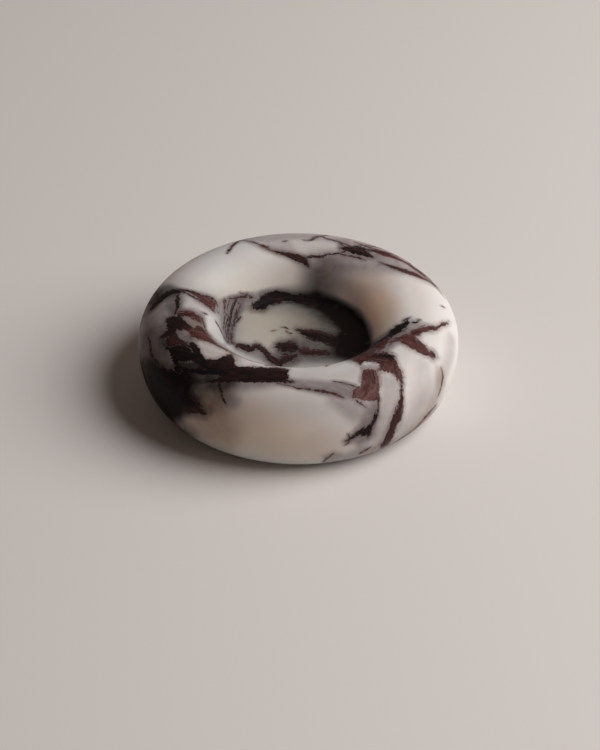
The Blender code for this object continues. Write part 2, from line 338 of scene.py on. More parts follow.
# Masses traced on the photograph: place, tone, share covered, softness in mm, the line that their streaks
# follow, and outline, in its pixels. The masses keep off the clear patches.
MASSES = {
    "left_fan": (RING, 0.20, 0.62, 1.0, [(186, 290), (202, 298), (217, 307)], [
        (196, 294), (207, 296), (214, 298.5), (217.5, 303), (216.5, 309), (211, 309), (204, 304.5),
        (197, 299),
    ]),
    "left_upper_streaks": (RING, 0.42, 0.52, 1.0, [(174, 313), (190, 314), (203, 322)], [
        (172, 309), (183, 309.5), (193, 311), (201, 314.5), (203.5, 320), (203, 326), (196, 323),
        (188, 319), (178, 316.5),
    ]),
    "left_mass": (RING, 0.74, 0.78, 1.2, [(163, 323), (176, 323), (192, 329)], [
        (165, 318), (172, 316), (179, 316.5), (184, 319.5), (188, 323), (194, 328.5), (190, 331),
        (182, 330.5), (177, 331), (174, 334), (168, 336.5), (160, 338.5), (163, 333), (167, 329),
        (165, 324),
    ]),
    "left_streak": (RING, 0.34, 0.84, 0.8, [(178, 326), (200, 332), (218, 345), (234, 354)], [
        (186, 326), (194, 328), (199, 325.5), (203.5, 328), (207.5, 334), (212, 340), (218, 345),
        (226, 350), (233, 354), (226, 352), (216, 348), (209, 342.5), (203, 340.5), (197, 339),
        (190, 336.5), (190, 331),
    ]),
    "left_specks": (RING, 0.50, 0.62, 1.4, [(168, 336), (178, 345), (190, 348)], [
        (168, 331), (178, 331), (180, 337), (189, 342), (191, 349), (184, 347), (172, 348.5), (163, 347),
        (165, 339),
    ]),
    "crest_black": (RING, 0.84, 1.0, 1.0, [(168, 352), (190, 356), (220, 366)], [
        (164, 346.5), (171, 348), (176, 345.8), (184, 345.8), (189, 349), (193, 352), (198, 353),
        (202, 357), (207, 360), (217, 360.5), (221, 364), (220, 371), (206, 370.5), (199, 369.5),
        (198.5, 362), (190, 361), (178, 361.4), (177, 366), (173.5, 363), (171.5, 357), (171, 351.5),
    ]),
    "crest_wine": (RING, 0.74, 1.0, 0.7, [(191, 343), (203, 358), (234, 363)], [
        (190, 342.5), (192.5, 341.8), (196, 344), (199, 348.5), (201, 354), (205.5, 358.8), (212, 360),
        (217, 360), (222, 358), (227, 355.8), (231, 354.5), (233.8, 357.5), (235, 364), (237, 371.5),
        (228, 371), (219, 371), (216, 366), (208, 361.5), (200, 358), (194, 352), (190, 347),
    ]),
    "lower_band": (RING, 0.85, 1.0, 1.2, [(177, 369), (205, 371), (236, 372)], [
        (174, 366.5), (190, 368.8), (205, 369.5), (221, 369), (236, 368.5), (238, 376), (221, 375),
        (205, 374), (190, 373.3), (175, 372),
    ]),
    "front_band": (RING, 0.75, 1.0, 0.8, [(206, 381), (230, 377), (258, 375), (290, 375)], [
        (229, 372.5), (234, 367), (250, 367.2), (270, 367.8), (282, 368.4), (289, 369), (288, 374),
        (289, 379), (280, 382), (262, 381.8), (245, 382.3), (235, 382), (222, 382), (212, 382.5),
        (206, 382.5), (214, 379.5), (222, 377),
    ]),
    "core": (RING, 0.86, 0.78, 2.5, [(168, 372), (182, 390), (192, 406)], [
        (162, 366), (174, 369), (188, 371), (193, 377), (194, 384), (190, 390), (189, 396), (194, 400),
        (196, 406), (190, 410), (182, 408), (172, 402), (160, 392), (152, 380), (152, 368),
    ]),
    "low_specks": (RING, 0.55, 0.62, 1.6, [(186, 404), (196, 411), (206, 414)], [
        (184, 396), (192, 395), (197, 400), (203, 406), (211, 411), (205, 417.5), (195, 416), (184, 414),
        (176, 412), (180, 404),
    ]),
    "far_floor": (ANYWHERE, 0.70, 0.88, 1.2, [(249, 308), (262, 300), (280, 296.5), (312, 299)], [
        (252, 308), (252, 303.5), (256, 300), (261, 296.3), (266, 293.6), (271, 291.2), (276, 290.6),
        (284, 292.2), (292, 293.6), (302, 295), (314, 296.5), (318, 306.5), (308, 305), (300, 303.4),
        (290, 302), (282, 302.2), (274, 303.6), (268, 305.6), (263, 309.5), (257, 310),
    ]),
    "floor_vein": (WELL, 0.76, 0.92, 1.2, [(296, 330), (318, 337), (346, 350)], [
        (295, 329), (305, 329.5), (314, 330.5), (322, 332), (330, 334), (337, 337), (339, 342), (338, 347),
        (334, 347), (328, 345), (320, 342.3), (311, 339.7), (303, 335.2),
    ]),
    "floor_lens_wine": (WELL, 0.42, 0.85, 0.9, [(300, 350), (316, 352), (330, 355)], [
        (298, 349.5), (304, 348), (311, 348.6), (318, 350.3), (326, 350.2), (330.5, 352.5), (329, 355.5),
        (320, 355.4), (312, 355.8), (305, 356.3), (300, 354),
    ]),
    "floor_lens": (WELL, 0.66, 0.66, 1.2, [(273, 347), (286, 344), (300, 346)], [
        (272.5, 347), (275.5, 343.5), (279, 341), (285, 340.3), (291, 340.6), (296, 342.6), (299, 345),
        (304, 345.2), (306.5, 347), (301, 349), (297, 351.5), (293, 353.5), (287, 352), (281, 352.6),
        (275.5, 350.8),
    ]),
    "floor_specks": (WELL, 0.60, 0.56, 1.4, [(278, 360), (287, 355), (298, 352)], [
        (280, 352), (290, 352), (297, 351.5), (300, 355), (299, 359), (295, 362.5), (289, 364.5),
        (282, 366), (274, 364), (277, 358), (280, 355),
    ]),
    "floor_squiggle": (WELL, 0.72, 0.96, 0.9, [
        (238, 345), (250, 349), (257, 346), (268, 355), (280, 365),
    ], [
        (236, 343.6), (241, 343.9), (246, 345.2), (251, 346.6), (255, 344), (260, 345), (266, 350),
        (271, 354.4), (276, 358.6), (282, 362.6), (281, 366.4), (275, 364.4), (268, 359.2), (262, 353.2),
        (258.5, 349.8), (256, 349.2), (252, 351.4), (247, 351.3), (242, 349), (236, 347),
    ]),
    "right_rim": (ANYWHERE, 0.34, 0.46, 1.0, [(352, 358), (380, 346), (404, 330)], [
        (346, 359), (360, 352), (368, 347.5), (376, 342.5), (384, 337), (391, 332.5), (398, 329.5),
        (406, 326), (412, 330), (402, 333), (395, 337), (389, 342.5), (386, 350), (380, 353), (370, 356),
        (356, 359.3),
    ]),
    "rim_dark": (ANYWHERE, 0.95, 0.66, 0.9, [(358, 355), (380, 341), (398, 330)], [
        (354, 357), (364, 351), (372, 344.5), (382, 337.5), (391, 331.8), (397, 329), (397, 332),
        (390, 337), (382, 341.5), (372, 348.5), (362, 355),
    ]),
    "upper_arm": (ANYWHERE, 0.95, 0.90, 1.0, [(388, 336), (398, 329), (409, 322)], [
        (387, 336), (391, 330), (396, 326.3), (401, 324.3), (404, 320.6), (409, 320.2), (409, 324.5),
        (404, 328.3), (399, 333), (391, 338),
    ]),
    "far_spot": (RING, 0.95, 0.92, 0.7, [(412, 322), (418, 321.5)], [
        (411.5, 321.3), (415, 320.2), (418.5, 321.3), (417, 323.6), (413, 323.9),
    ]),
    "right_arm": (RING, 0.22, 0.86, 0.9, [(410, 334), (430, 329), (448, 323)], [
        (408, 333.5), (413, 330.3), (418, 327.6), (425, 325.9), (433, 325.4), (438, 325.2), (442, 322.8),
        (448, 322.1), (447.5, 324.4), (441, 327.6), (436.5, 330.8), (429, 331.6), (423, 333), (418.5, 336),
        (412, 336),
    ]),
    "arm_root": (RING, 0.20, 0.50, 0.9, [(392, 340), (404, 337), (416, 333)], [
        (387, 341), (394, 337), (404, 333), (413, 331.5), (416, 336), (410, 341), (404, 343.5),
        (397, 342.5), (391, 346), (388, 349),
    ]),
    "down_arm": (RING, 0.26, 0.86, 0.9, [(402, 338), (418, 347), (436, 358)], [
        (401, 336), (408, 334.8), (415, 337), (420, 341.6), (426, 346.8), (430, 350.8), (433.8, 353.8),
        (434, 358), (427, 356), (419, 352.6), (412, 349), (406, 345.6), (401, 342),
    ]),
    "down_arm_tip": (RING, 0.75, 0.70, 0.9, [(429, 352), (436, 358)], [
        (429, 350), (433, 350.5), (437.5, 357), (434.5, 360.4), (429.5, 357),
    ]),
    "right_mass": (RING, 0.26, 0.84, 0.9, [(350, 360), (376, 356), (392, 358), (399, 372), (401, 383)], [
        (349, 360), (356, 357.2), (366, 354.5), (376, 352.3), (388, 351.8), (392, 353.4), (395, 356.5),
        (396.8, 361), (399, 367), (402, 372), (403.2, 378), (402.5, 385), (399, 382), (395, 376),
        (390, 373), (383, 371.8), (377, 370.4), (380, 366.8), (378, 363.8), (371, 361.5), (363, 361.2),
        (361, 366), (357, 363),
    ]),
    "right_mass_dark": (RING, 0.72, 0.62, 0.9, [(366, 357), (380, 354), (394, 358)], [
        (362, 356), (372, 353.5), (383, 352.5), (391, 353.5), (395.5, 358.5), (394, 363), (386, 360),
        (376, 358.5), (366, 359),
    ]),
    "front_square": (RING, 0.02, 1.0, 0.6, [(366, 371), (370, 385), (362, 399)], [
        (363.5, 370), (370, 369.5), (376, 370.5), (377.5, 378), (379, 386), (379.5, 399), (375, 400.8),
        (366, 400.8), (358, 399), (351.5, 397.5), (353, 390), (357, 386.5), (361, 386), (361.5, 378),
    ]),
    "front_square_top": (RING, 0.22, 0.70, 2.2, [(366, 371), (370, 385)], [
        (364, 370), (370, 369.5), (376, 370.5), (377.5, 378), (378, 383), (371, 386), (364, 383),
        (362, 378),
    ]),
    "long_vein": (RING, 0.44, 1.0, 1.0, [(401.5, 384), (402, 402), (396, 422), (382, 447)], [
        (401.3, 383), (402.2, 384), (402.4, 395), (402.6, 403), (402.2, 412), (400.6, 418), (397.4, 425),
        (394.2, 432), (391, 439), (386.5, 445), (381.5, 448), (380.4, 445.4), (385, 438), (388.6, 430),
        (391.4, 422), (394, 414), (397, 407), (400.4, 400), (401.5, 392),
    ]),
    "black_rag": (RING, 0.92, 0.66, 1.1, [(376, 412), (370, 429), (346, 441)], [
        (375.5, 409), (378, 415), (376, 421), (373.5, 429), (371.5, 435), (368.5, 438.5), (366, 435.5),
        (362, 437.8), (357, 435.5), (353, 439), (349, 442), (344, 442), (349, 437), (354, 432), (358, 429),
        (362, 427), (366, 426), (370, 422.5), (373, 417),
    ]),
}
CLEAR_PATCHES = {
    "white_wedge": [
        (206, 314), (214, 318), (220, 326), (224, 336), (228, 344), (221, 343), (214, 338), (208, 330),
        (205, 322),
    ],
    "white_patch": [
        (197, 342), (205, 341), (215, 345), (225, 350), (231, 353.5), (222, 357), (212, 359), (205, 357),
        (201, 351),
    ],
    "grey_oval": [(362, 365), (366, 362), (372, 361.5), (377, 364), (376, 368.5), (370, 369), (364, 369)],
}

# Hazes traced on the photograph, painted shade and painted light among them: kind, place, strength, softness
# in mm, and outline in its pixels
HAZES = {
    "left_zone": (LILAC, RING, 0.82, 2.5, [
        (136, 350), (138, 330), (144, 314), (152, 302), (162, 292), (172, 290), (180, 294), (180, 306),
        (172, 318), (168, 326), (166, 336), (168, 346), (174, 358), (178, 368), (172, 375), (158, 372),
        (144, 366),
    ]),
    "left_zone_low": (SMOKE_AND_SHADE, RING, 0.44, 3.5, [
        (134, 352), (138, 338), (150, 326), (164, 326), (172, 340), (172, 354), (180, 366), (172, 378),
        (156, 374), (142, 368),
    ]),
    "left_bowl": (LILAC, RING, 0.40, 5.0, [
        (170, 284), (200, 286), (222, 292), (240, 296), (240, 320), (238, 342), (250, 354), (262, 362),
        (240, 366), (200, 362), (180, 345), (168, 320),
    ]),
    "left_rim": (LILAC, RING, 0.62, 3.0, [
        (184, 336), (196, 336), (206, 334), (214, 330), (222, 338), (232, 346), (242, 354), (240, 364),
        (224, 358), (206, 354), (192, 346),
    ]),
    "left_wedge": (LILAC, RING, 0.60, 1.6, [
        (176, 308), (190, 308), (204, 314), (206, 324), (204, 334), (192, 330), (178, 316),
    ]),
    "left_wedge_brown": (EARTH_AND_WARM_SHADE, RING, 0.45, 1.6, [
        (174, 310), (190, 311), (204, 316), (206, 328), (204, 338), (190, 332), (178, 320),
    ]),
    "left_dark": (SMOKE_AND_SHADE, RING, 0.94, 3.5, [
        (130, 352), (141, 356), (148, 360), (156, 362), (164, 371), (176, 376), (190, 382), (193, 396),
        (196, 406), (188, 414), (176, 420), (172, 432), (156, 424), (146, 404), (134, 385), (128, 368),
    ]),
    # Painted shade along the lower left edge, where it meets the floor
    "left_foot_shade": (SMOKE_AND_SHADE, RING, 0.74, 4.5, [
        (140, 396), (160, 406), (174, 416), (186, 426), (196, 434), (194, 446), (174, 440), (150, 418),
    ]),
    "left_edge": (SMOKE_AND_SHADE, RING, 0.70, 1.6, [
        (134, 352), (138, 334), (143, 320), (149, 309), (155, 301), (162, 290), (158, 284), (148, 294),
        (138, 312), (132, 340),
    ]),
    "left_band": (SMOKE_AND_SHADE, RING, 0.72, 1.6, [
        (147, 314), (152, 302), (157, 293), (162, 285), (170, 284), (178, 287), (186, 291), (178, 293.5),
        (169, 297), (160, 303), (155, 309),
    ]),
    "left_column": (SMOKE_AND_SHADE, RING, 0.40, 1.8, [
        (168, 292), (183, 290), (186, 300), (182, 312), (172, 318), (166, 306),
    ]),
    # Black vein and painted shade along the foot of the far and right walls of the well
    "floor_black_and_shade": (SMOKE_AND_SHADE, WELL, 0.998, 4.2, [
        (296, 298), (313, 296.5), (322, 298), (332, 301), (341, 306), (350, 311.5), (358, 319),
        (365, 327.5), (369.5, 338), (369, 349), (360, 358), (350, 360), (341, 357), (342, 346), (342, 338),
        (339, 331), (334, 325), (327, 319), (319, 313.5), (311, 308.5), (303, 304.5), (297, 302),
    ]),
    # Painted shade at the foot of the right inner wall
    "wall_foot_right_shade": (SMOKE_AND_SHADE, ANYWHERE, 0.66, 2.6, [
        (318, 297), (332, 301.5), (344, 306.5), (354, 313), (362, 321), (368, 330), (370.5, 340),
        (370, 349), (364, 353), (366, 342), (362, 330), (352, 319), (338, 309), (322, 302),
    ]),
    "left_lens": (SMOKE_AND_SHADE, RING, 0.45, 1.6, [
        (158, 338), (168, 332), (180, 330), (192, 332), (197, 338), (190, 343), (188, 348), (170, 348),
        (160, 346),
    ]),
    "crest_lens": (SMOKE_AND_SHADE, RING, 0.86, 0.9, [(176, 361), (200, 361.5), (201.5, 370), (176, 369.2)]),
    "strip": (SMOKE_AND_SHADE, RING, 0.80, 1.6, [
        (184, 371), (236, 371), (230, 377), (214, 381), (200, 384), (188, 385),
    ]),
    "beside_core": (SMOKE_AND_SHADE, RING, 0.64, 4.0, [
        (186, 376), (201, 380), (208, 388), (204, 400), (200, 412), (188, 412), (184, 392),
    ]),
    # Painted warm shade on the shaded front left belly, in this haze and the next two
    "front_left_warm_shade": (EARTH_AND_WARM_SHADE, RING, 0.62, 5.0, [
        (196, 378), (219, 380), (232, 384), (230, 398), (224, 412), (206, 416), (192, 402),
    ]),
    "front_left_low_warm_shade": (EARTH_AND_WARM_SHADE, RING, 0.30, 7.0, [
        (160, 406), (222, 404), (240, 424), (232, 448), (196, 448), (168, 432),
    ]),
    "front_left_deep_warm_shade": (RUST_AND_WARM_SHADE, RING, 0.34, 8.0, [
        (158, 404), (184, 412), (206, 408), (226, 414), (242, 432), (234, 452), (196, 452), (164, 436),
    ]),
    "under_band": (SMOKE_AND_SHADE, RING, 0.72, 2.6, [
        (206, 379), (240, 379.5), (238, 384), (226, 390), (214, 392), (206, 388),
    ]),
    "under_band_right": (LILAC, RING, 0.80, 3.0, [
        (226, 380), (288, 379), (292, 385), (262, 389), (234, 392), (222, 390),
    ]),
    "fall_haze": (RUST_AND_WARM_SHADE, RING, 0.45, 2.0, [
        (184, 402), (198, 402), (210, 411), (206, 418), (190, 415), (182, 410),
    ]),
    "wall_left": (LILAC, ANYWHERE, 0.70, 1.6, [
        (219, 299), (247, 295), (244, 308), (239, 318), (234, 328), (232, 345), (226, 345), (220, 330),
        (217, 312),
    ]),
    "far_wall_left": (LILAC, ANYWHERE, 0.62, 1.6, [
        (226, 298), (240, 295), (256, 291.5), (268, 289), (262, 297), (252, 302), (248, 311), (240, 312),
        (236, 302),
    ]),
    "far_floor_rust": (RUST_AND_WARM_SHADE, ANYWHERE, 0.55, 1.4, [
        (247, 306), (254, 304), (266, 306), (270, 309), (264, 313.5), (250, 313),
    ]),
    # Painted shade on the far floor beside the far wall
    "far_floor_shade": (SMOKE_AND_SHADE, ANYWHERE, 0.56, 2.6, [
        (270, 293), (286, 291), (302, 292), (322, 294), (330, 306), (314, 308), (300, 305), (286, 303),
        (272, 306), (262, 305),
    ]),
    # Painted shade on the right of the well floor, and on its far side in the next one
    "floor_right_shade": (SMOKE_AND_SHADE, WELL, 0.84, 4.0, [
        (331, 341), (337, 335), (344, 332), (352, 340), (354, 356), (342, 360), (335, 358), (331, 350),
    ]),
    "floor_far_shade": (SMOKE_AND_SHADE, WELL, 0.36, 4.0, [
        (262, 306), (284, 302), (302, 304), (318, 311), (332, 324), (322, 325), (304, 315), (282, 312),
        (264, 314),
    ]),
    "beside_short_vein": (SMOKE_AND_SHADE, RING, 0.38, 8.0, [
        (200, 382), (224, 382), (236, 388), (236, 400), (226, 406), (212, 402), (204, 392),
    ]),
    # Painted shade on the upper belly
    "upper_belly_shade": (SMOKE_AND_SHADE, RING, 0.17, 8.0, [
        (206, 386), (250, 384), (290, 388), (340, 400), (350, 412), (320, 422), (250, 420), (206, 412),
    ]),
    # Painted light on the right inner wall
    "right_wall_painted_light": (PAINTED_LIGHT, ANYWHERE, 0.85, 6.0, [
        (372, 296), (388, 284), (408, 288), (414, 306), (404, 318), (392, 326), (382, 335), (377, 322),
        (372, 308),
    ]),
    # Painted shade high on the right inner wall
    "right_wall_shade": (SMOKE_AND_SHADE, ANYWHERE, 0.26, 7.0, [
        (338, 270), (352, 276), (362, 292), (360, 308), (346, 300), (332, 286),
    ]),
    "floor_between": (LILAC, WELL, 0.62, 2.0, [
        (290, 335), (304, 337), (318, 343), (332, 348), (345, 352), (345, 357), (328, 362), (300, 363),
        (284, 368), (270, 366), (262, 358), (276, 350), (292, 348),
    ]),
    "floor_near": (SMOKE_AND_SHADE, WELL, 0.30, 3.0, [
        (266, 358), (284, 353), (312, 352), (345, 350), (352, 362), (320, 362), (290, 370), (266, 368),
    ]),
    "floor_lens": (SMOKE_AND_SHADE, WELL, 0.50, 1.8, [
        (274, 343), (283, 341), (291, 340), (297, 343), (299, 349), (290, 353), (278, 352),
    ]),
    "squiggle": (LILAC, WELL, 0.70, 2.0, [
        (233, 342), (250, 344), (258, 342), (268, 350), (282, 360), (282, 368), (262, 362), (250, 356),
        (236, 350),
    ]),
    "far_top": (LILAC, ANYWHERE, 0.60, 1.6, [
        (236, 242), (250, 230), (290, 226), (330, 230), (352, 238), (346, 246), (325, 240.5), (300, 239.5),
        (272, 241), (256, 243),
    ]),
    "far_top_left": (LILAC, ANYWHERE, 0.45, 1.8, [
        (262, 241), (290, 240), (296, 252), (286, 253), (270, 248),
    ]),
    "oval": (LILAC, ANYWHERE, 0.22, 2.0, [
        (290, 242), (318, 238), (340, 244), (344, 251), (322, 256), (304, 257), (292, 252),
    ]),
    # Lilac haze and painted shade on the far inner wall below the knot, and painted shade in the next one
    "below_knot": (LILAC, ANYWHERE, 0.78, 9.0, [
        (300, 262), (318, 257), (338, 256), (344, 266), (340, 282), (332, 298), (310, 298), (304, 284),
        (302, 272),
    ]),
    "below_knot_shade": (SMOKE_AND_SHADE, ANYWHERE, 0.50, 8.0, [
        (306, 264), (326, 260), (330, 276), (328, 298), (308, 298), (306, 282),
    ]),
    "below_knot_wine": (RUST_AND_WARM_SHADE, ANYWHERE, 0.16, 5.0, [
        (310, 262), (330, 262), (332, 272), (326, 282), (316, 282), (312, 270),
    ]),
    "below_net": (LILAC, ANYWHERE, 0.66, 4.0, [
        (320, 255), (345, 250), (378, 254), (402, 262), (400, 272), (378, 274), (350, 272), (330, 270),
        (318, 262),
    ]),
    "net": (LILAC, ANYWHERE, 0.75, 1.6, [
        (336, 240), (352, 238), (375, 243), (396, 250), (404, 258), (396, 262), (375, 260), (352, 256),
        (338, 252),
    ]),
    "far_right": (LILAC, ANYWHERE, 0.60, 1.4, [
        (396, 252), (410, 256), (424, 266), (438, 280), (446, 294), (436, 288), (424, 280), (408, 272),
        (394, 264),
    ]),
    "right_rim": (LILAC, ANYWHERE, 0.50, 1.4, [
        (346, 360), (360, 350), (376, 341), (391, 331), (398, 328), (408, 323), (420, 320), (428, 324),
        (420, 328), (412, 334), (402, 342), (392, 350), (385, 354), (368, 356), (356, 360.5),
    ]),
    "front_thin": (LILAC, RING, 0.84, 2.0, [
        (284, 376), (292, 378), (320, 380), (345, 382), (356, 384), (354, 399), (340, 398), (320, 395),
        (296, 389), (282, 385),
    ]),
    "front_crest": (LILAC, RING, 0.30, 4.0, [
        (286, 370), (330, 374), (358, 364), (362, 384), (330, 380), (292, 376),
    ]),
    "below_square": (LILAC, RING, 0.62, 4.0, [
        (330, 396), (352, 397), (378, 402), (378, 416), (364, 424), (352, 424), (340, 412), (328, 402),
    ]),
    "around_rag": (LILAC, RING, 0.80, 2.5, [
        (354, 434), (359, 424), (364, 414), (371, 402), (379, 400), (379, 416), (376, 434), (367, 444),
        (358, 447), (351, 442),
    ]),
    "between_veins": (LILAC, RING, 0.50, 2.0, [
        (381, 374), (396, 378), (400, 390), (399, 402), (393, 416), (389, 430), (382, 442), (372, 446),
        (374, 436), (379, 420), (381, 400),
    ]),
    "long_vein_side": (EARTH_AND_WARM_SHADE, RING, 0.62, 1.4, [
        (400, 398), (394, 410), (388, 424), (384, 438), (376, 446), (370, 452), (378, 446), (388, 434),
        (394, 414), (399, 404),
    ]),
    "bottom_edge": (LILAC, RING, 0.62, 2.0, [
        (322, 456), (334, 451), (346, 454), (360, 446), (380, 444), (400, 436), (420, 422), (436, 404),
        (440, 410), (424, 430), (400, 446), (370, 458), (340, 464), (324, 463),
    ]),
    "right_low": (EARTH_AND_WARM_SHADE, RING, 0.45, 1.8, [
        (436, 366), (444, 370), (446, 384), (440, 398), (430, 414), (414, 430), (398, 442), (408, 430),
        (424, 412), (436, 392),
    ]),
}

# Soft stains under the surface, painted shade and painted warm light among them: strength, and points as x,
# y and radius, in the photograph's pixels
LILAC_STAINS = {
    "far_crest_vein": (0.60, [
        (250, 242, 5), (260, 246, 6), (272, 250, 7), (283, 253, 8), (295, 257, 9), (303, 261, 10),
    ]),
    "right_crest_vein": (0.40, [(380, 264, 7), (395, 269, 8), (410, 273, 8), (425, 280, 7)]),
    "left_fan": (0.60, [(184, 292, 5), (196, 296, 8), (207, 302, 10), (214, 308, 9)]),
    "crest_gap": (0.85, [(176, 366, 7), (187, 365, 8), (198, 365, 6)]),
    "beside_short_vein": (0.50, [(216, 388, 9), (226, 394, 11), (234, 402, 12)]),
    "right_edge": (0.42, [
        (452, 340, 12), (450, 356, 13), (443, 374, 14), (434, 392, 15), (420, 412, 14), (404, 428, 12),
    ]),
    "right_side": (0.30, [(424, 366, 14), (422, 384, 15), (418, 400, 14)]),
}
SMOKE_AND_SHADE_STAINS = {
    # Painted shade at the foot of the far and right inner walls
    "far_wall_foot_shade": (0.32, [(262, 293, 6), (280, 290, 7), (298, 290, 9), (315, 291, 12)]),
    "wall_foot_shade": (0.66, [
        (318, 295, 9), (332, 300, 8), (346, 307, 8), (357, 315, 9), (363, 326, 6), (367, 340, 4),
    ]),
    "lower_left": (0.90, [(150, 376, 14), (154, 386, 22), (162, 398, 26), (172, 408, 18)]),
}
# Painted warm light, tinting the shaded belly and well as warm bounce light would
PAINTED_WARM_LIGHT_STAINS = {
    "belly": (0.40, [(212, 428, 38), (245, 438, 46), (278, 448, 42), (312, 456, 34)]),
    "well_floor": (0.55, [(262, 322, 50), (300, 322, 50)]),
    "below_knot": (0.25, [(326, 270, 9), (330, 284, 11), (330, 296, 10)]),
}
RUST_STAINS = {
    "far_crest": (0.35, [(264, 247, 5), (276, 252, 5)]),
    "left_streak": (0.45, [(196, 330, 6), (207, 335, 6)]),
}

# Painted shade, laid the same way, but only on the floor of the well
FLOOR_PAINTED_SHADE = {
    "right": (0.78, [(350, 318, 96), (352, 332, 96)]),
    "all_over": (0.20, [(255, 325, 110), (300, 330, 110)]),
}

# Veins on the sides that the photograph hides. A strand starts with its tone. The points are degrees round
# the tray, share of the section, and half the width in mm. The section's shares run from the middle of the
# underside out, up, over the crest and into the well.
HIDDEN_STRANDS = {
    "back_long": (0.6, [
        (128, 0.655, 0.7), (118, 0.61, 1.1), (109, 0.55, 1.3), (104, 0.48, 1.0), (96, 0.42, 0.8),
        (90, 0.34, 0.5),
    ]),
    "back_branch": (0.4, [(113, 0.58, 0.6), (120, 0.53, 0.7), (131, 0.48, 0.6), (139, 0.41, 0.4)]),
    "back_right": (0.5, [
        (62, 0.645, 0.5), (55, 0.60, 0.8), (44, 0.56, 1.0), (36, 0.50, 0.8), (33, 0.43, 0.6),
    ]),
    "back_right_thread": (0.5, [(48, 0.62, 0.4), (38, 0.60, 0.5), (25, 0.59, 0.5), (14, 0.56, 0.4)]),
    "back_thread": (0.5, [(84, 0.655, 0.4), (78, 0.60, 0.5), (80, 0.53, 0.5), (74, 0.46, 0.4)]),
    "left_long": (0.8, [
        (172, 0.60, 1.0), (165, 0.55, 1.4), (158, 0.49, 1.5), (154, 0.42, 1.2), (148, 0.35, 0.7),
    ]),
    "left_branch": (0.4, [(164, 0.54, 0.7), (168, 0.48, 0.8), (174, 0.43, 0.7), (181, 0.37, 0.4)]),
    "lower_left": (0.7, [(200, 0.50, 0.8), (205, 0.45, 1.3), (212, 0.40, 1.2), (216, 0.35, 0.7)]),
    "right_low": (0.5, [(350, 0.43, 0.5), (358, 0.41, 0.7), (6, 0.37, 0.4)]),
    "near_wall": (0.5, [(252, 0.70, 0.6), (256, 0.74, 0.9), (262, 0.79, 1.0), (268, 0.84, 0.7)]),
    "near_wall_thread": (0.4, [(285, 0.70, 0.4), (291, 0.75, 0.5), (294, 0.80, 0.5), (290, 0.85, 0.4)]),
    "underside_long": (0.6, [
        (216, 0.33, 0.8), (214, 0.22, 1.1), (205, 0.12, 1.0), (100, 0.06, 0.8), (72, 0.18, 1.0),
        (66, 0.30, 0.7),
    ]),
    "underside_thread": (0.4, [(320, 0.32, 0.4), (331, 0.22, 0.5), (350, 0.14, 0.5), (40, 0.12, 0.4)]),
}
HIDDEN_WINE = {
    "left_back": [(172, 0.585, 3.0), (164, 0.545, 4.2), (158, 0.50, 3.4), (155, 0.44, 1.6)],
    "lower_left": [(196, 0.47, 3.5), (204, 0.44, 4.5), (211, 0.41, 3.2), (215, 0.37, 1.2)],
    "back": [(112, 0.59, 1.4), (107, 0.53, 2.4), (103, 0.47, 1.4)],
    "near_wall": [(258, 0.76, 1.5), (263, 0.80, 2.4), (268, 0.84, 1.5)],
}
HIDDEN_DARK = {
    "left_back": [(170, 0.57, 1.2), (163, 0.53, 2.2), (158, 0.48, 1.4)],
    "lower_left": [(200, 0.455, 2.0), (207, 0.43, 2.8), (212, 0.40, 1.5)],
}

# Lilac stains there: strength, and the same points, but with a radius in mm
HIDDEN_LILAC = {
    "left_back": (0.5, [(172, 0.58, 11), (160, 0.52, 14), (152, 0.44, 10)]),
    "back": (0.4, [(118, 0.60, 9), (107, 0.52, 12), (97, 0.43, 9)]),
    "back_right": (0.35, [(58, 0.61, 8), (42, 0.55, 10), (34, 0.46, 8)]),
    "underside": (0.35, [(214, 0.24, 12), (190, 0.08, 12), (72, 0.20, 12)]),
}

# The stains, painted shade and painted light of each kind
STAINS = {
    LILAC: LILAC_STAINS,
    SMOKE_AND_SHADE: SMOKE_AND_SHADE_STAINS,
    RUST_AND_WARM_SHADE: RUST_STAINS,
    PAINTED_WARM_LIGHT: PAINTED_WARM_LIGHT_STAINS,
    EARTH_AND_WARM_SHADE: {},
    PAINTED_LIGHT: {},
}

# The stone's colours
CLEAR_STONE = (0.665, 0.64, 0.63, 1.0)
CLOUDED_STONE = (0.56, 0.53, 0.52, 1.0)
LILAC_STONE = (0.20, 0.172, 0.178, 1.0)
# Painted warm light
PAINTED_WARM_LIGHT_STONE = (0.62, 0.51, 0.37, 1.0)
# Earthy brown, also used as painted warm shade
EARTH_AND_WARM_SHADE_STONE = (0.20, 0.135, 0.088, 1.0)
# Smoky near-black, also used as painted shade
SMOKE_AND_SHADE_STONE = (0.009, 0.0062, 0.0056, 1.0)
# Painted light
PAINTED_LIGHT_STONE = (0.80, 0.785, 0.765, 1.0)
# Rusty brown, also used as painted warm shade
RUST_AND_WARM_SHADE_STONE = (0.26, 0.13, 0.075, 1.0)
PALE_WINE_STONE = (0.20, 0.112, 0.108, 1.0)
WINE_STONE = (0.085, 0.032, 0.029, 1.0)
DEEP_WINE_STONE = (0.028, 0.012, 0.0115, 1.0)
BLACK_STONE = (0.007, 0.0065, 0.0075, 1.0)
THREAD_STONE = (0.42, 0.34, 0.33, 1.0)
BLEED_STONE = (0.17, 0.13, 0.13, 1.0)
STRAND_BLACK = (0.016, 0.010, 0.010, 1.0)

# Colours that follow one another as a value rises: where each one starts and is full
RIBBON_TONES = ((-0.35, 0.25, WINE_STONE), (0.2, 0.55, DEEP_WINE_STONE), (0.55, 0.95, BLACK_STONE))
WINE_TONES = ((0.42, 0.56, WINE_STONE), (0.54, 0.66, DEEP_WINE_STONE))
DARK_TONES = ((0.38, 0.52, BLACK_STONE),)

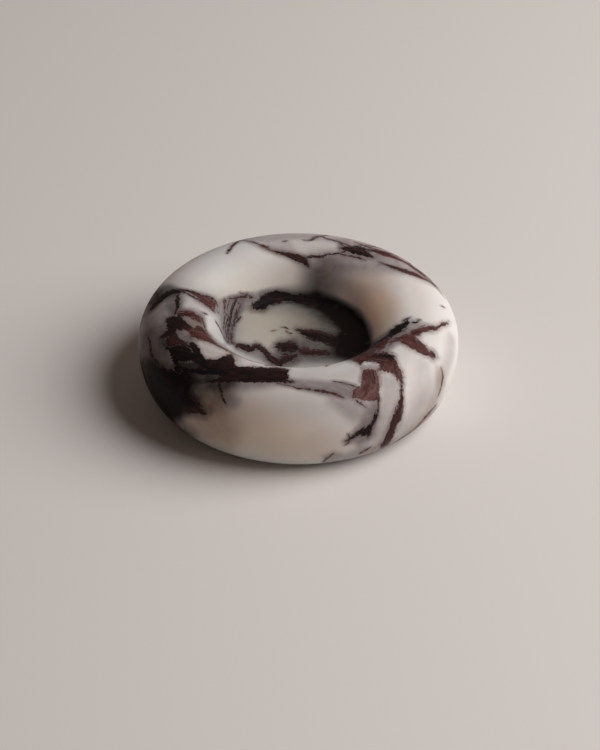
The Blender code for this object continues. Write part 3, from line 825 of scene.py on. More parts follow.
# The stone's noises: the size of their swirls in millimetres, and how much finer swirls add
COARSE_NOISE = {"size": 7.0}
FINE_NOISE = {"size": 2.0, "detail": 3.0, "roughness": 0.6}
TINY_NOISE = {"size": 0.7}
GRAIN_NOISE = {"size": 0.8, "detail": 4.0, "roughness": 0.8}
CLOUD_NOISE = {"size": 30.0, "detail": 3.0}
UNEVEN_NOISE = {"size": 5.0, "detail": 3.0}
CHIP_SIZE = 3.6

# How the place on the stone is pushed about: the size of the push's swirls and its reach, in millimetres
WANDER = {"size": 15.0, "reach": 4.0}

# How far the coarse, fine and tiny noises and the chips shift an edge to both sides, in millimetres
RAGGED_WIDTHS = (0.8, 1.0, 0.6, 0.6)
LIGHTLY_RAGGED_WIDTHS = (0.5, 1.0, 0.8, 0.15)
WOBBLE_WIDTHS = (0.8, 0.7, 0.2)

# A band or a fall is where an eased step starts and ends, and then the values that it runs between, which
# are 0 and 1 where they aren't given
CLOUD_BAND = (0.42, 0.72, 0.0, 0.55)

# The unevenness of the stains: what noise is multiplied by, and what is added to it then
STAIN_UNEVENNESS = (0.55, 0.72)
SMOKE_AND_SHADE_UNEVENNESS = (0.40, 0.64)

# Patches on the hidden sides: half the width of their edges, their streaks and their pale threads
WINE_EDGE = 0.3
DARK_EDGE = 0.35
DARK_STREAK_WIDTH = 1.6
PATCH_STREAK_TURN_DEGREES = (8.0, 12.0, 24.0)
PATCH_STREAK_STRETCH = (13.0, 1.7, 1.7)
PATCH_STREAK_WARP = {"size": 5.0, "reach": 0.5}
PATCH_STREAK_NOISE = {"size": 1.0, "detail": 3.0, "roughness": 0.6}
MOTTLE_SHARES = (0.6, 0.15, 0.3)
THREAD_NOISE = {"size": 5.0}
THREAD_BAND = (0.02, 0.004)
THREAD_SHARE = 0.25

# Streaks in ribbons and masses: their scales along and across, their seeds, and their noises
STREAK_ALONG_SCALE = 0.26
STREAK_ACROSS_SCALE = 1.1
STREAK_SEED_OF_TONE = 17.0
STREAK_SEED_OF_LAYER = 5.0
STREAK_WARP = {"size": 1.6, "reach": 0.7}
STREAK_NOISE = {"size": 1.3, "detail": 5.0, "roughness": 0.68}
SHADE_NOISE = {"size": 2.2, "detail": 5.0, "roughness": 0.7}
SHADE_WIDTH = 0.75
HAIR_NOISE = {"size": 2.6, "detail": 3.0, "roughness": 0.6}
HAIR_BAND = (0.018, 0.004)
HAIR_OF_TONE = (0.9, 0.1, 0.0, 0.15)
COVER_GAIN_SHARE = 0.62
COVER_BAND = (0.71, 0.86)
COVER_FALL = (-2.0, 2.0, 0.10, -0.62)
COVER_GRAIN_WIDTH = 0.28
TONE_GRAIN_WIDTH = 0.42
BLEED_FALL = (2.0, -1.6, 0.0, 0.60)

# Strands: how their edge and their halo fade, how they swell and where they break
STRAND_FADE = (0.34, -0.22)
HALO_FADE = (2.2, 0.0, 0.0, 0.45)
SWELL_NOISE = {"size": 2.6, "detail": 3.0}
SWELL = (2.4, -0.2)
BREAK_NOISE = {"size": 1.8, "detail": 4.0, "roughness": 0.7}
BREAK_BAND = (0.36, 0.54, 0.3, 1.0)

# The stone's polish and relief, and how light goes through it
POLISH_WIDTH = 0.05
POLISH_OF_VEINS = (-0.06, 0.5)
STONE_RELIEF_SHARE = 0.12
STONE_RELIEF_DEPTH = 0.0003
VEIN_SINK_SHARE = 0.4
STONE_FINISH = {
    "Specular IOR Level": 0.05,
    "Subsurface Weight": 1.0,
    "Subsurface Radius": (1.0, 0.68, 0.50),
    "Subsurface Scale": 0.055,
}

# The felt: two greys, its fibres and tufts in millimetres, and its relief
FELT_GREY = (0.145, 0.135, 0.128, 1.0)
FELT_PALE = (0.235, 0.222, 0.212, 1.0)
FIBRE_NOISE = {"size": 1.0}
FIBRE_TURNS_DEGREES = (28.0, -52.0)
FIBRE_STRETCH = (1.4, 0.12, 0.12)
TUFT_NOISE = {"size": 1.1}
TUFT_WIDTH = 0.15
FELT_BAND = (0.45, 0.75)
FELT_RELIEF_SHARE = 0.6
FELT_RELIEF_DEPTH = 0.0002
FELT_FINISH = {"Roughness": 0.95, "Sheen Weight": 0.25}

# The sockets of a Mix node that is set to colours
MIX_SHARE_SOCKET = 0
MIX_UNDER_SOCKET = 6
MIX_OVER_SOCKET = 7
MIX_RESULT_SOCKET = 2


def make_camera():
    data = bpy.data.cameras.new("photo_camera")
    data.lens = LENS_MM
    data.sensor_width = SENSOR_MM
    data.clip_start = CAMERA_CLIP_START
    camera = bpy.data.objects.new("photo_camera", data)
    bpy.context.scene.collection.objects.link(camera)
    camera.location = CAMERA_PLACE
    camera.rotation_euler = (math.radians(RIGHT_ANGLE_DEGREES - CAMERA_PITCH_DEGREES), 0.0, 0.0)
    camera.rotation_euler.rotate_axis("Z", math.radians(CAMERA_ROLL_DEGREES))
    bpy.context.scene.camera = camera
    bpy.context.view_layer.update()
    return camera


def photo_ray(camera, x, y):
    """Where the ray of one pixel of the photograph starts, and which way it runs."""
    across = (x - PHOTO_WIDTH / 2) / PHOTO_HEIGHT * SENSOR_MM / LENS_MM
    up = (PHOTO_HEIGHT / 2 - y) / PHOTO_HEIGHT * SENSOR_MM / LENS_MM
    direction = camera.matrix_world.to_3x3() @ Vector((across, up, -1.0))
    return camera.matrix_world.translation, direction.normalized()


def photo_pixels(camera, places):
    """The pixels of the photograph at which places on the tray are seen."""
    turn = np.array(camera.matrix_world.to_3x3())
    local = (places - np.array(camera.matrix_world.translation)) @ turn
    focal = PHOTO_HEIGHT * LENS_MM / SENSOR_MM
    x = PHOTO_WIDTH / 2 - focal * local[:, 0] / local[:, 2]
    y = PHOTO_HEIGHT / 2 + focal * local[:, 1] / local[:, 2]
    return np.column_stack((x, y))


def full_quarter(angle, fullness):
    """The cosine and sine of an angle, drawn out to a squarer curve where the fullness is over 2."""
    power = 2.0 / fullness
    across = max(math.cos(angle), 0.0) ** power
    up = max(math.sin(angle), 0.0) ** power
    return across, up


def lip_point(angle):
    """A point on the inner wall: angle 0 is the crest, and a right angle is where it stands upright."""
    down, inward = full_quarter(angle, LIP_FULLNESS)
    return CREST_RADIUS - LIP_REACH * inward, CREST_HEIGHT - LIP_DROP * (1.0 - down)


def lip_normal(angle):
    """The direction out of the stone, into the well, at the same point."""
    down, inward = full_quarter(angle, LIP_FULLNESS)
    power = LIP_FULLNESS - 1.0
    towards_axis = (inward ** power) / LIP_REACH
    upward = (down ** power) / LIP_DROP
    length = math.hypot(towards_axis, upward)
    return -towards_axis / length, upward / length


def fillet_centre(angle):
    """The centre of a fillet that touches the inner wall at this angle."""
    radius, height = lip_point(angle)
    outward, upward = lip_normal(angle)
    return radius + WELL_FILLET * outward, height + WELL_FILLET * upward


def lowest_lip_angle():
    """Where the inner wall meets the fillet, whose centre lies one radius above the floor."""
    low, high = 0.0, math.pi / 2
    for _ in range(SEARCH_STEPS):
        middle = (low + high) / 2
        if fillet_centre(middle)[1] > WELL_FLOOR_HEIGHT + WELL_FILLET:
            low = middle
        else:
            high = middle
    return (low + high) / 2


def stone_profile():
    """The rings of the stone's cage, from the underside out, up, over the crest and into the well."""
    rings = []
    for step in range(1, UNDERSIDE_STEPS):
        rings.append((UNDERSIDE_RADIUS * step / UNDERSIDE_STEPS, UNDERSIDE_HEIGHT))
    drop = WIDEST_HEIGHT - UNDERSIDE_HEIGHT
    for step in range(CURVE_STEPS, 0, -1):
        across, down = full_quarter(math.pi / 2 * step / CURVE_STEPS, OUTER_FULLNESS)
        rings.append((UNDERSIDE_RADIUS + UNDERSIDE_INSET * across, WIDEST_HEIGHT - drop * down))
    for step in range(CURVE_STEPS):
        across, up = full_quarter(math.pi / 2 * step / CURVE_STEPS, OUTER_FULLNESS)
        rings.append((CREST_RADIUS + CREST_INSET * across, WIDEST_HEIGHT + CREST_RISE * up))
    lowest = lowest_lip_angle()
    for step in range(CURVE_STEPS + 1):
        rings.append(lip_point(lowest * step / CURVE_STEPS))
    centre_radius, centre_height = fillet_centre(lowest)
    outward, upward = lip_normal(lowest)
    last_turn = math.atan2(-outward, upward)
    for step in range(FILLET_STEPS - 1, -1, -1):
        turn = last_turn * step / FILLET_STEPS
        radius = centre_radius + WELL_FILLET * math.sin(turn)
        rings.append((radius, centre_height - WELL_FILLET * math.cos(turn)))
    for step in range(1, FLOOR_STEPS):
        rings.append((centre_radius * (1.0 - step / FLOOR_STEPS), WELL_FLOOR_HEIGHT))
    return rings


def deselect_all():
    if bpy.context.mode != "OBJECT":
        bpy.ops.object.mode_set(mode="OBJECT")
    bpy.ops.object.select_all(action="DESELECT")


def apply_modifier(thing, modifier):
    deselect_all()
    thing.select_set(True)
    bpy.context.view_layer.objects.active = thing
    bpy.ops.object.modifier_apply(modifier=modifier.name)


def make_stone():
    """A disc is drawn up ring by ring over the crest and down into the well, and then smoothed."""
    rings = stone_profile()
    radius, height = rings[0]
    deselect_all()
    bpy.ops.mesh.primitive_circle_add(
        vertices=CAGE_SIDES, radius=radius, fill_type="NGON", location=(0.0, 0.0, height)
    )
    stone = bpy.context.active_object
    stone.name = "veined_stone"
    bpy.ops.object.transform_apply(location=True, rotation=True, scale=True)
    bpy.ops.object.mode_set(mode="EDIT")
    bpy.ops.mesh.select_mode(type="EDGE")
    bpy.ops.mesh.select_all(action="SELECT")
    for next_radius, next_height in rings[1:]:
        rise = (0.0, 0.0, next_height - height)
        bpy.ops.mesh.extrude_edges_move(TRANSFORM_OT_translate={"value": rise})
        share = next_radius / radius
        bpy.ops.transform.resize(value=(share, share, 1.0), center_override=(0.0, 0.0, next_height))
        radius, height = next_radius, next_height
    bpy.ops.mesh.edge_face_add()
    bpy.ops.mesh.select_all(action="SELECT")
    bpy.ops.mesh.normals_make_consistent(inside=False)
    bpy.ops.object.mode_set(mode="OBJECT")
    smoothing = stone.modifiers.new("smoothing", "SUBSURF")
    smoothing.levels = SMOOTHING_LEVELS
    smoothing.render_levels = SMOOTHING_LEVELS
    apply_modifier(stone, smoothing)
    stone.data.shade_smooth()
    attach(stone, "root")
    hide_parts("marble_body")
    return stone


def unit(vectors):
    lengths = np.linalg.norm(vectors, axis=-1, keepdims=True)
    return vectors / np.maximum(lengths, LEAST_LENGTH)


def smooth_route(points, step):
    """A smooth curve through the points, with its samples about a step apart in the first two columns."""
    knots = np.array(points, float)
    knots = np.vstack((2 * knots[0] - knots[1], knots, 2 * knots[-1] - knots[-2]))
    samples = []
    for before, start, end, after in zip(knots, knots[1:], knots[2:], knots[3:]):
        count = max(1, round(math.hypot(*(end - start)[:2]) / step))
        for share in np.arange(count) / count:
            straight = (end - before) * share
            bend = (2 * before - 5 * start + 4 * end - after) * share ** 2
            twist = (3 * start - before - 3 * end + after) * share ** 3
            samples.append(start + (straight + bend + twist) / 2)
    samples.append(knots[-2])
    return np.array(samples)


class Route:
    """A smooth line on the stone: its places, its directions, its half-widths and its lengths so far."""

    def __init__(self, places, normals, half_widths):
        self.places = places * MM
        self.half_widths = half_widths
        self.tangents = unit(np.gradient(self.places, axis=0))
        self.sides = unit(np.cross(normals, self.tangents))
        steps = np.linalg.norm(np.diff(self.places, axis=0), axis=1)
        self.lengths = np.concatenate(((0.0,), np.cumsum(steps)))
        self.starts = np.flatnonzero(steps < LONGEST_JUMP)


def section_shares(section):
    """How far along the section each of its points lies, from 0 to 1."""
    steps = np.linalg.norm(np.diff(section, axis=0), axis=1)
    lengths = np.concatenate(((0.0,), np.cumsum(steps)))
    return lengths / lengths[-1]


def laid(points):
    """A route that is given by degrees round the tray and shares of its section."""
    section = np.array([(0.0, UNDERSIDE_HEIGHT)] + stone_profile() + [(0.0, WELL_FLOOR_HEIGHT)])
    shares = section_shares(section)
    flow = np.gradient(section, axis=0)
    turned = np.array(points, float)
    turned[:, 0] = np.unwrap(np.radians(turned[:, 0]))
    samples = smooth_route(turned, SECTION_STEP)
    radius = np.interp(samples[:, 1], shares, section[:, 0])
    height = np.interp(samples[:, 1], shares, section[:, 1])
    outward = np.interp(samples[:, 1], shares, flow[:, 1])
    upward = -np.interp(samples[:, 1], shares, flow[:, 0])
    cosine, sine = np.cos(samples[:, 0]), np.sin(samples[:, 0])
    places = np.column_stack((radius * cosine, radius * sine, height))
    normals = unit(np.column_stack((outward * cosine, outward * sine, upward)))
    return Route(places, normals, samples[:, 2])


def nearest_on(route, places, reach):
    """Which places lie near a route, how far off they are, and which segment and share is nearest."""
    found = np.full(len(places), np.inf)
    segment = np.zeros(len(places), int)
    share = np.zeros(len(places))
    for first in range(0, len(route.starts), SEGMENTS_AT_ONCE):
        starts = route.starts[first:first + SEGMENTS_AT_ONCE]
        low = np.minimum(route.places[starts], route.places[starts + 1]).min(axis=0) - reach
        high = np.maximum(route.places[starts], route.places[starts + 1]).max(axis=0) + reach
        near = np.flatnonzero(np.all((places > low) & (places < high), axis=1))
        spans = route.places[starts + 1] - route.places[starts]
        offsets = places[near][:, None, :] - route.places[starts][None]
        along = (offsets * spans).sum(axis=2) / np.maximum((spans ** 2).sum(axis=1), LEAST_SQUARE)
        along = np.clip(along, 0.0, 1.0)
        gaps = np.linalg.norm(offsets - along[:, :, None] * spans, axis=2)
        best = gaps.argmin(axis=1)
        rows = np.arange(len(near))
        closer = gaps[rows, best] < found[near]
        chosen = near[closer]
        found[chosen] = gaps[rows, best][closer]
        segment[chosen] = starts[best][closer]
        share[chosen] = along[rows, best][closer]
    near = np.flatnonzero(found < reach)
    return near, found[near], segment[near], share[near]


def between(values, segment, share):
    if values.ndim == 2:
        share = share[:, None]
    return values[segment] * (1.0 - share) + values[segment + 1] * share


def beyond_ends(route, segment, share):
    """Which places lie nearest to the first or the last point of a route."""
    first_end = (segment == 0) & (share <= 0.0)
    last_end = (segment == len(route.places) - 2) & (share >= 1.0)
    return first_end | last_end


def lay_broad(field, places, route):
    """The distance to a broad vein's edge, below nothing inside it."""
    reach = BROAD_REACH + route.half_widths.max()
    near, gap, segment, share = nearest_on(route, places, reach)
    field[near] = np.minimum(field[near], gap - between(route.half_widths, segment, share))


def lay_stain(field, places, route, strength):
    """A soft stain that fades out at the route's half-width. Its strength may differ from place to place."""
    near, gap, segment, share = nearest_on(route, places, route.half_widths.max())
    radius = between(route.half_widths, segment, share)
    fade = np.clip(1.0 - (gap / radius) ** 2, 0.0, 1.0) ** 2
    strengths = np.broadcast_to(strength, len(places))[near]
    field[near] = 1.0 - (1.0 - field[near]) * (1.0 - strengths * fade)


def flow_on(route, places, reach):
    """The distance of each vertex to a ribbon's edge, and its place along and across the ribbon's route."""
    edge = np.full(len(places), FAR)
    along = np.zeros(len(places))
    across = np.zeros(len(places))
    near, _, segment, share = nearest_on(route, places, reach)
    offset = places[near] - between(route.places, segment, share)
    aside = (offset * between(route.sides, segment, share)).sum(axis=1)
    onward = (offset * between(route.tangents, segment, share)).sum(axis=1)
    half_width = between(route.half_widths, segment, share)
    ends = beyond_ends(route, segment, share)
    half_width = np.where(ends, half_width - np.abs(onward), half_width)
    edge[near] = np.abs(aside) - half_width
    along[near] = between(route.lengths, segment, share) + onward
    across[near] = aside
    return edge, along, across


class StrandLayer:
    """Strands that lie well apart: each vertex gets the nearest one's offset, half-width and tone."""

    parts = ("offset", "half", "tone")

    def __init__(self, count):
        self.offset = np.full(count, FAR)
        self.half = np.full(count, -FAR)
        self.tone = np.zeros(count)
        self.routes = []

    def has_room(self, route):
        for other in self.routes:
            gaps = np.linalg.norm(route.places[:, None] - other.places[None], axis=2)
            if gaps.min() < STRAND_SPACING:
                return False
        return True

    def lay(self, places, route, tone):
        self.routes.append(route)
        near, gap, segment, share = nearest_on(route, places, STRAND_REACH)
        closest = between(route.places, segment, share)
        across = ((places[near] - closest) * between(route.sides, segment, share)).sum(axis=1)
        signed = np.where(across < 0.0, -gap, gap)
        half = between(route.half_widths, segment, share)
        ends = beyond_ends(route, segment, share)
        beyond = np.sqrt(np.maximum(gap ** 2 - across ** 2, 0.0))
        signed = np.where(ends, across, signed)
        half = np.where(ends, half - beyond, half)
        half = half - np.maximum(np.abs(signed) - STRAND_CORE - half, 0.0)
        closer = gap < np.abs(self.offset[near])
        chosen = near[closer]
        self.offset[chosen] = signed[closer]
        self.half[chosen] = half[closer]
        self.tone[chosen] = tone


class RibbonLayer:
    """Ribbons and masses that lie apart: each vertex gets its distance to the nearest one's edge, its place
    along and across that one's streaks, and its tone, cover and softness."""

    parts = ("edge", "along", "across", "tone", "cover", "softness")

    def __init__(self, count):
        for part in self.parts:
            setattr(self, part, np.zeros(count))
        self.edge += FAR
        self.softness += 1.0

    def crowding(self, edge):
        """How many vertices this layer's pieces would share with a new one."""
        return np.count_nonzero((edge < RIBBON_MARGIN) & (self.edge < RIBBON_MARGIN))

    def lay(self, edge, *others):
        chosen = np.flatnonzero((edge < RIBBON_MARGIN) & (edge < self.edge))
        for part, values in zip(self.parts, (edge, *others)):
            getattr(self, part)[chosen] = np.broadcast_to(values, len(edge))[chosen]


def patch_distance(pixels, outline):
    """How far pixels lie from an outline, in millimetres on the stone, below nothing inside it."""
    corners = np.array(outline, float)
    closest = np.full(len(pixels), np.inf)
    inside = np.zeros(len(pixels), bool)
    for start, end in zip(corners, np.roll(corners, -1, axis=0)):
        span = end - start
        offset = pixels - start
        share = np.clip(offset @ span / (span @ span), 0.0, 1.0)
        closest = np.minimum(closest, np.linalg.norm(offset - share[:, None] * span, axis=1))
        if start[1] != end[1]:
            crosses = (start[1] > pixels[:, 1]) != (end[1] > pixels[:, 1])
            inside ^= crosses & (offset[:, 0] < span[0] * offset[:, 1] / span[1])
    return np.where(inside, -closest, closest) * PATCH_MM_PER_PIXEL


def in_the_well(places):
    """Which places lie on the floor or low on the walls of the well, and not over its near rim."""
    low = places[:, 2] < CREST_HEIGHT - WELL_BRINK
    return low & (np.hypot(places[:, 0], places[:, 1]) < CREST_RADIUS)


def shares_of_floor(places):
    """One on the floor of the well, falling to nothing a little way up its wall."""
    rise = np.clip((places[:, 2] - WELL_FLOOR_HEIGHT) / WELL_FILLET, 0.0, 1.0)
    inside = np.hypot(places[:, 0], places[:, 1]) < CREST_RADIUS
    above = places[:, 2] > WIDEST_HEIGHT - WELL_FILLET
    return np.where(inside & above, 1.0 - rise, 0.0)


def read_vectors(rows, name):
    """One vector for each of a mesh's vertices."""
    values = np.empty(len(rows) * 3, np.float32)
    rows.foreach_get(name, values)
    return values.reshape(-1, 3).astype(float)


def edge_links(mesh):
    """Both directions of each edge, as rows of a vertex and its neighbour."""
    ends = np.empty(len(mesh.edges) * 2, np.int32)
    mesh.edges.foreach_get("vertices", ends)
    ends = ends.reshape(-1, 2)
    return np.concatenate((ends, ends[:, ::-1]))


class Surface:
    """The stone's vertices, and what the photograph shows of them. Its own places are in millimetres."""

    def __init__(self, camera, stone):
        self.camera = camera
        self.mesh = stone.data
        self.count = len(self.mesh.vertices)
        places = read_vectors(self.mesh.vertices, "co")
        normals = read_vectors(self.mesh.vertex_normals, "vector")
        faces = [tuple(face.vertices) for face in self.mesh.polygons]
        self.tree = BVHTree.FromPolygons([tuple(place) for place in places], faces)
        self.places = places * MM
        self.floor_shares = shares_of_floor(places)
        self.links = edge_links(self.mesh)
        self.neighbours = np.bincount(self.links[:, 0], minlength=self.count)
        self.seen = self.find_seen(places, normals)
        self.pixels = photo_pixels(camera, places[self.seen])
        below_near_rim = (self.floor_shares[self.seen] > 0.0) & (self.pixels[:, 1] > NEAR_RIM_TOP_PIXEL)
        self.shown = {
            ANYWHERE: np.ones(len(self.seen), bool),
            WELL: in_the_well(places[self.seen]),
            RING: ~below_near_rim,
        }
        self.clear = np.full(len(self.seen), FAR)
        for outline in CLEAR_PATCHES.values():
            self.clear = np.minimum(self.clear, patch_distance(self.pixels, outline))
        self.find_hidden()

    def find_seen(self, places, normals):
        """The vertices in the photograph's view, with those just over its horizons."""
        eye = self.camera.matrix_world.translation
        away = places - np.array(eye)
        distance = np.linalg.norm(away, axis=1)
        facing = (normals * away).sum(axis=1) / distance < FACING_LIMIT
        seen = np.zeros(len(places), bool)
        for number in np.flatnonzero(facing):
            _, _, _, reached = self.tree.ray_cast(eye, Vector(away[number]))
            seen[number] = reached is not None and distance[number] - reached < SEEN_TOLERANCE
        return np.flatnonzero(seen)

    def find_hidden(self):
        """The other vertices, each with the nearest seen one and the distance to it."""
        tree = KDTree(len(self.seen))
        for number, place in enumerate(self.places[self.seen]):
            tree.insert(place, number)
        tree.balance()
        self.hidden = np.setdiff1d(np.arange(self.count), self.seen)
        found = [tree.find(place) for place in self.places[self.hidden]]
        self.nearest_seen = self.seen[[number for _, number, _ in found]]
        self.distances = np.array([distance for _, _, distance in found])

    def landing(self, x, y):
        """The place at a pixel. A pixel just outside the outline slides in towards the tray's middle."""
        spot = np.array((x, y), float)
        inward = unit(np.array(TRAY_MIDDLE_PIXEL) - spot)
        for _ in range(OUTLINE_TRIES):
            start, direction = photo_ray(self.camera, *spot)
            place, normal, _, _ = self.tree.ray_cast(start, direction)
            if place is not None:
                return np.array(place), np.array(normal)
            spot += OUTLINE_STEP * inward
        raise ValueError(f"the pixel {x}, {y} lies far outside the stone")

    def traced(self, points):
        """A route that follows pixels of the photograph."""
        points = [(x, y, width[0] if width else 1.0) for x, y, *width in points]
        samples = smooth_route(points, TRACE_STEP)
        hits = [self.landing(x, y) for x, y, _ in samples]
        places = np.array([place for place, _ in hits])
        normals = np.array([normal for _, normal in hits])
        sides = unit(np.cross(normals, unit(np.gradient(places, axis=0))))
        moved = photo_pixels(self.camera, places + sides / MM) - photo_pixels(self.camera, places)
        pixels_per_mm = np.maximum(np.linalg.norm(moved, axis=1), LEAST_PIXELS_PER_MM)
        return Route(places, normals, samples[:, 2] / pixels_per_mm)

    def outlined(self, where, outline):
        """The distance of each vertex to the edge of an outline, with the well or the ring left out."""
        edge = np.full(self.count, FAR)
        edge[self.seen] = np.where(self.shown[where], patch_distance(self.pixels, outline), FAR)
        return edge

    def carry_edge_on(self, edge):
        """A mass runs on from the seen vertices to the hidden ones, and narrows away."""
        carried = edge[self.nearest_seen] + self.distances * NARROWING_SHARE
        edge[self.hidden] = np.minimum(edge[self.hidden], carried)
        return edge

    def carry_stain_on(self, stain):
        """A stain runs on to the hidden vertices, fades there, and is evened out between neighbours."""
        fading = np.exp(-self.distances / STAIN_FADE)
        stain[self.hidden] = np.maximum(stain[self.hidden], stain[self.nearest_seen] * fading)
        for _ in range(EVENING_ROUNDS):
            mean = np.bincount(self.links[:, 0], stain[self.links[:, 1]], self.count) / self.neighbours
            stain[self.hidden] = mean[self.hidden]
        return stain

    def store(self, name, values):
        attribute = self.mesh.attributes.new(name, "FLOAT", "POINT")
        attribute.data.foreach_set("value", np.ascontiguousarray(values, dtype=np.float32))

    def store_layers(self, name, layers):
        for number, layer in enumerate(layers):
            for part in layer.parts:
                self.store(f"{name}_{part}_{number}", getattr(layer, part))


def lay_strands(surface):
    layers = [StrandLayer(surface.count) for _ in range(STRAND_LAYERS)]
    strands = [(tone, surface.traced(points)) for tone, points in STRANDS.values()]
    strands += [(tone, laid(points)) for tone, points in HIDDEN_STRANDS.values()]
    for tone, route in strands:
        roomy = [layer for layer in layers if layer.has_room(route)]
        (roomy or layers[-1:])[0].lay(surface.places, route, tone)
    surface.store_layers("strand", layers)


def lay_ribbons_and_masses(surface):
    layers = [RibbonLayer(surface.count) for _ in range(RIBBON_LAYERS)]
    pieces = []
    for tone, cover, softness, points in RIBBONS.values():
        route = surface.traced(points)
        flow = flow_on(route, surface.places, route.half_widths.max() + RIBBON_MARGIN)
        pieces.append((*flow, tone, cover, softness))
    for where, tone, cover, softness, points, outline in MASSES.values():
        _, along, across = flow_on(surface.traced(points), surface.places, MASS_REACH)
        edge = surface.outlined(where, outline)
        edge[surface.seen] = np.maximum(edge[surface.seen], -surface.clear)
        pieces.append((surface.carry_edge_on(edge), along, across, tone, cover, softness))
    for piece in pieces:
        crowding = [layer.crowding(piece[0]) for layer in layers]
        layers[int(np.argmin(crowding))].lay(*piece)
    surface.store_layers("ribbon", layers)


def lay_hidden_patches(surface):
    for name, patches in (("wine", HIDDEN_WINE), ("dark", HIDDEN_DARK)):
        field = np.full(surface.count, FAR)
        for points in patches.values():
            lay_broad(field, surface.places, laid(points))
        surface.store(f"{name}_edge", field)


def stained(surface, kind, stains):
    """The strength of one kind of stain at each vertex, from its stains and its hazes, painted shade and
    painted light among them.
    """
    field = np.zeros(surface.count)
    for strength, points in stains.values():
        lay_stain(field, surface.places, surface.traced(points), strength)
    if kind == LILAC:
        for strength, points in HIDDEN_LILAC.values():
            lay_stain(field, surface.places, laid(points), strength)
    # Painted shade on the floor of the well joins the smoky kind
    if kind == SMOKE_AND_SHADE:
        for strength, points in FLOOR_PAINTED_SHADE.values():
            lay_stain(field, surface.places, surface.traced(points), strength * surface.floor_shares)
    for haze_kind, where, strength, softness, outline in HAZES.values():
        if haze_kind == kind:
            inside = np.clip(0.5 - surface.outlined(where, outline) / (2.0 * softness), 0.0, 1.0)
            inside = inside * inside * (3.0 - 2.0 * inside)
            field = 1.0 - (1.0 - field) * (1.0 - strength * inside)
    if kind == LILAC:
        field[surface.seen] *= 1.0 - CLEARED_SHARE * np.clip(0.5 - surface.clear, 0.0, 1.0)
    return surface.carry_stain_on(field)


def lay_veins(camera, stone):
    """Every vertex of the stone gets its distance to the veins, and the strength of the stains, painted
    shade and painted light there.
    """
    surface = Surface(camera, stone)
    lay_strands(surface)
    lay_ribbons_and_masses(surface)
    lay_hidden_patches(surface)
    for kind, stains in STAINS.items():
        surface.store(f"{kind}_stain", stained(surface, kind, stains))


def new_material(name, finish):
    """A material with the values of its finish, its node tree and its shader."""
    material = bpy.data.materials.new(name)
    material.use_nodes = True
    shader = material.node_tree.nodes["Principled BSDF"]
    for socket, value in finish.items():
        shader.inputs[socket].default_value = value
    return material, material.node_tree, shader


def fill(tree, socket, value):
    """A socket gets a link where the value comes from another node, and otherwise the value itself."""
    if isinstance(value, bpy.types.NodeSocket):
        tree.links.new(value, socket)
    else:
        socket.default_value = value


def attribute(tree, name):
    node = tree.nodes.new("ShaderNodeAttribute")
    node.attribute_name = name
    return node.outputs["Fac"]


def calc(tree, operation, *values):
    node = tree.nodes.new("ShaderNodeMath")
    node.operation = operation
    for socket, value in zip(node.inputs, values):
        fill(tree, socket, value)
    return node.outputs["Value"]


def total(tree, *values):
    result = values[0]
    for value in values[1:]:
        result = calc(tree, "ADD", result, value)
    return result


def product(tree, *values):
    result = values[0]
    for value in values[1:]:
        result = calc(tree, "MULTIPLY", result, value)
    return result


def clamp_between(tree, value, low, high, to_low=0.0, to_high=1.0):
    """An eased step from one value to another, which also runs backwards."""
    node = tree.nodes.new("ShaderNodeMapRange")
    node.interpolation_type = "SMOOTHSTEP"
    fill(tree, node.inputs["Value"], value)
    node.inputs["From Min"].default_value = low
    node.inputs["From Max"].default_value = high
    node.inputs["To Min"].default_value = to_low
    node.inputs["To Max"].default_value = to_high
    return node.outputs["Result"]


def blend(tree, share, under, over):
    node = tree.nodes.new("ShaderNodeMix")
    node.data_type = "RGBA"
    fill(tree, node.inputs[MIX_SHARE_SOCKET], share)
    fill(tree, node.inputs[MIX_UNDER_SOCKET], under)
    fill(tree, node.inputs[MIX_OVER_SOCKET], over)
    return node.outputs[MIX_RESULT_SOCKET]


def blend_tones(tree, value, colour, tones):
    """A colour that gives way to the next ones as the value rises."""
    for low, high, next_colour in tones:
        colour = blend(tree, clamp_between(tree, value, low, high), colour, next_colour)
    return colour


def combine(tree, x, y, z):
    node = tree.nodes.new("ShaderNodeCombineXYZ")
    for socket, value in zip(node.inputs, (x, y, z)):
        fill(tree, socket, value)
    return node.outputs["Vector"]


def in_millimetres(tree, turn_degrees=(0.0, 0.0, 0.0), stretch=(1.0, 1.0, 1.0)):
    """The place on the piece in millimetres, turned, and squeezed by the stretch given along each axis."""
    place = tree.nodes.new("ShaderNodeTexCoord").outputs["Object"]
    mapping = tree.nodes.new("ShaderNodeMapping")
    tree.links.new(place, mapping.inputs["Vector"])
    mapping.inputs["Rotation"].default_value = [math.radians(degrees) for degrees in turn_degrees]
    mapping.inputs["Scale"].default_value = [MM / length for length in stretch]
    return mapping.outputs["Vector"]


def noise(tree, place, size, detail=2.0, roughness=0.5, output="Fac"):
    """Smooth noise with swirls of about this size."""
    node = tree.nodes.new("ShaderNodeTexNoise")
    tree.links.new(place, node.inputs["Vector"])
    node.inputs["Scale"].default_value = 1.0 / size
    node.inputs["Detail"].default_value = detail
    node.inputs["Roughness"].default_value = roughness
    return node.outputs[output]


def swing(tree, value, width):
    """Noise turned into a shift to both sides of nothing."""
    return calc(tree, "MULTIPLY_ADD", value, 2.0 * width, -width)


def swung(tree, noises, widths):
    """Several noises as one shift, each with its own width."""
    return total(tree, *(swing(tree, value, width) for value, width in zip(noises, widths)))


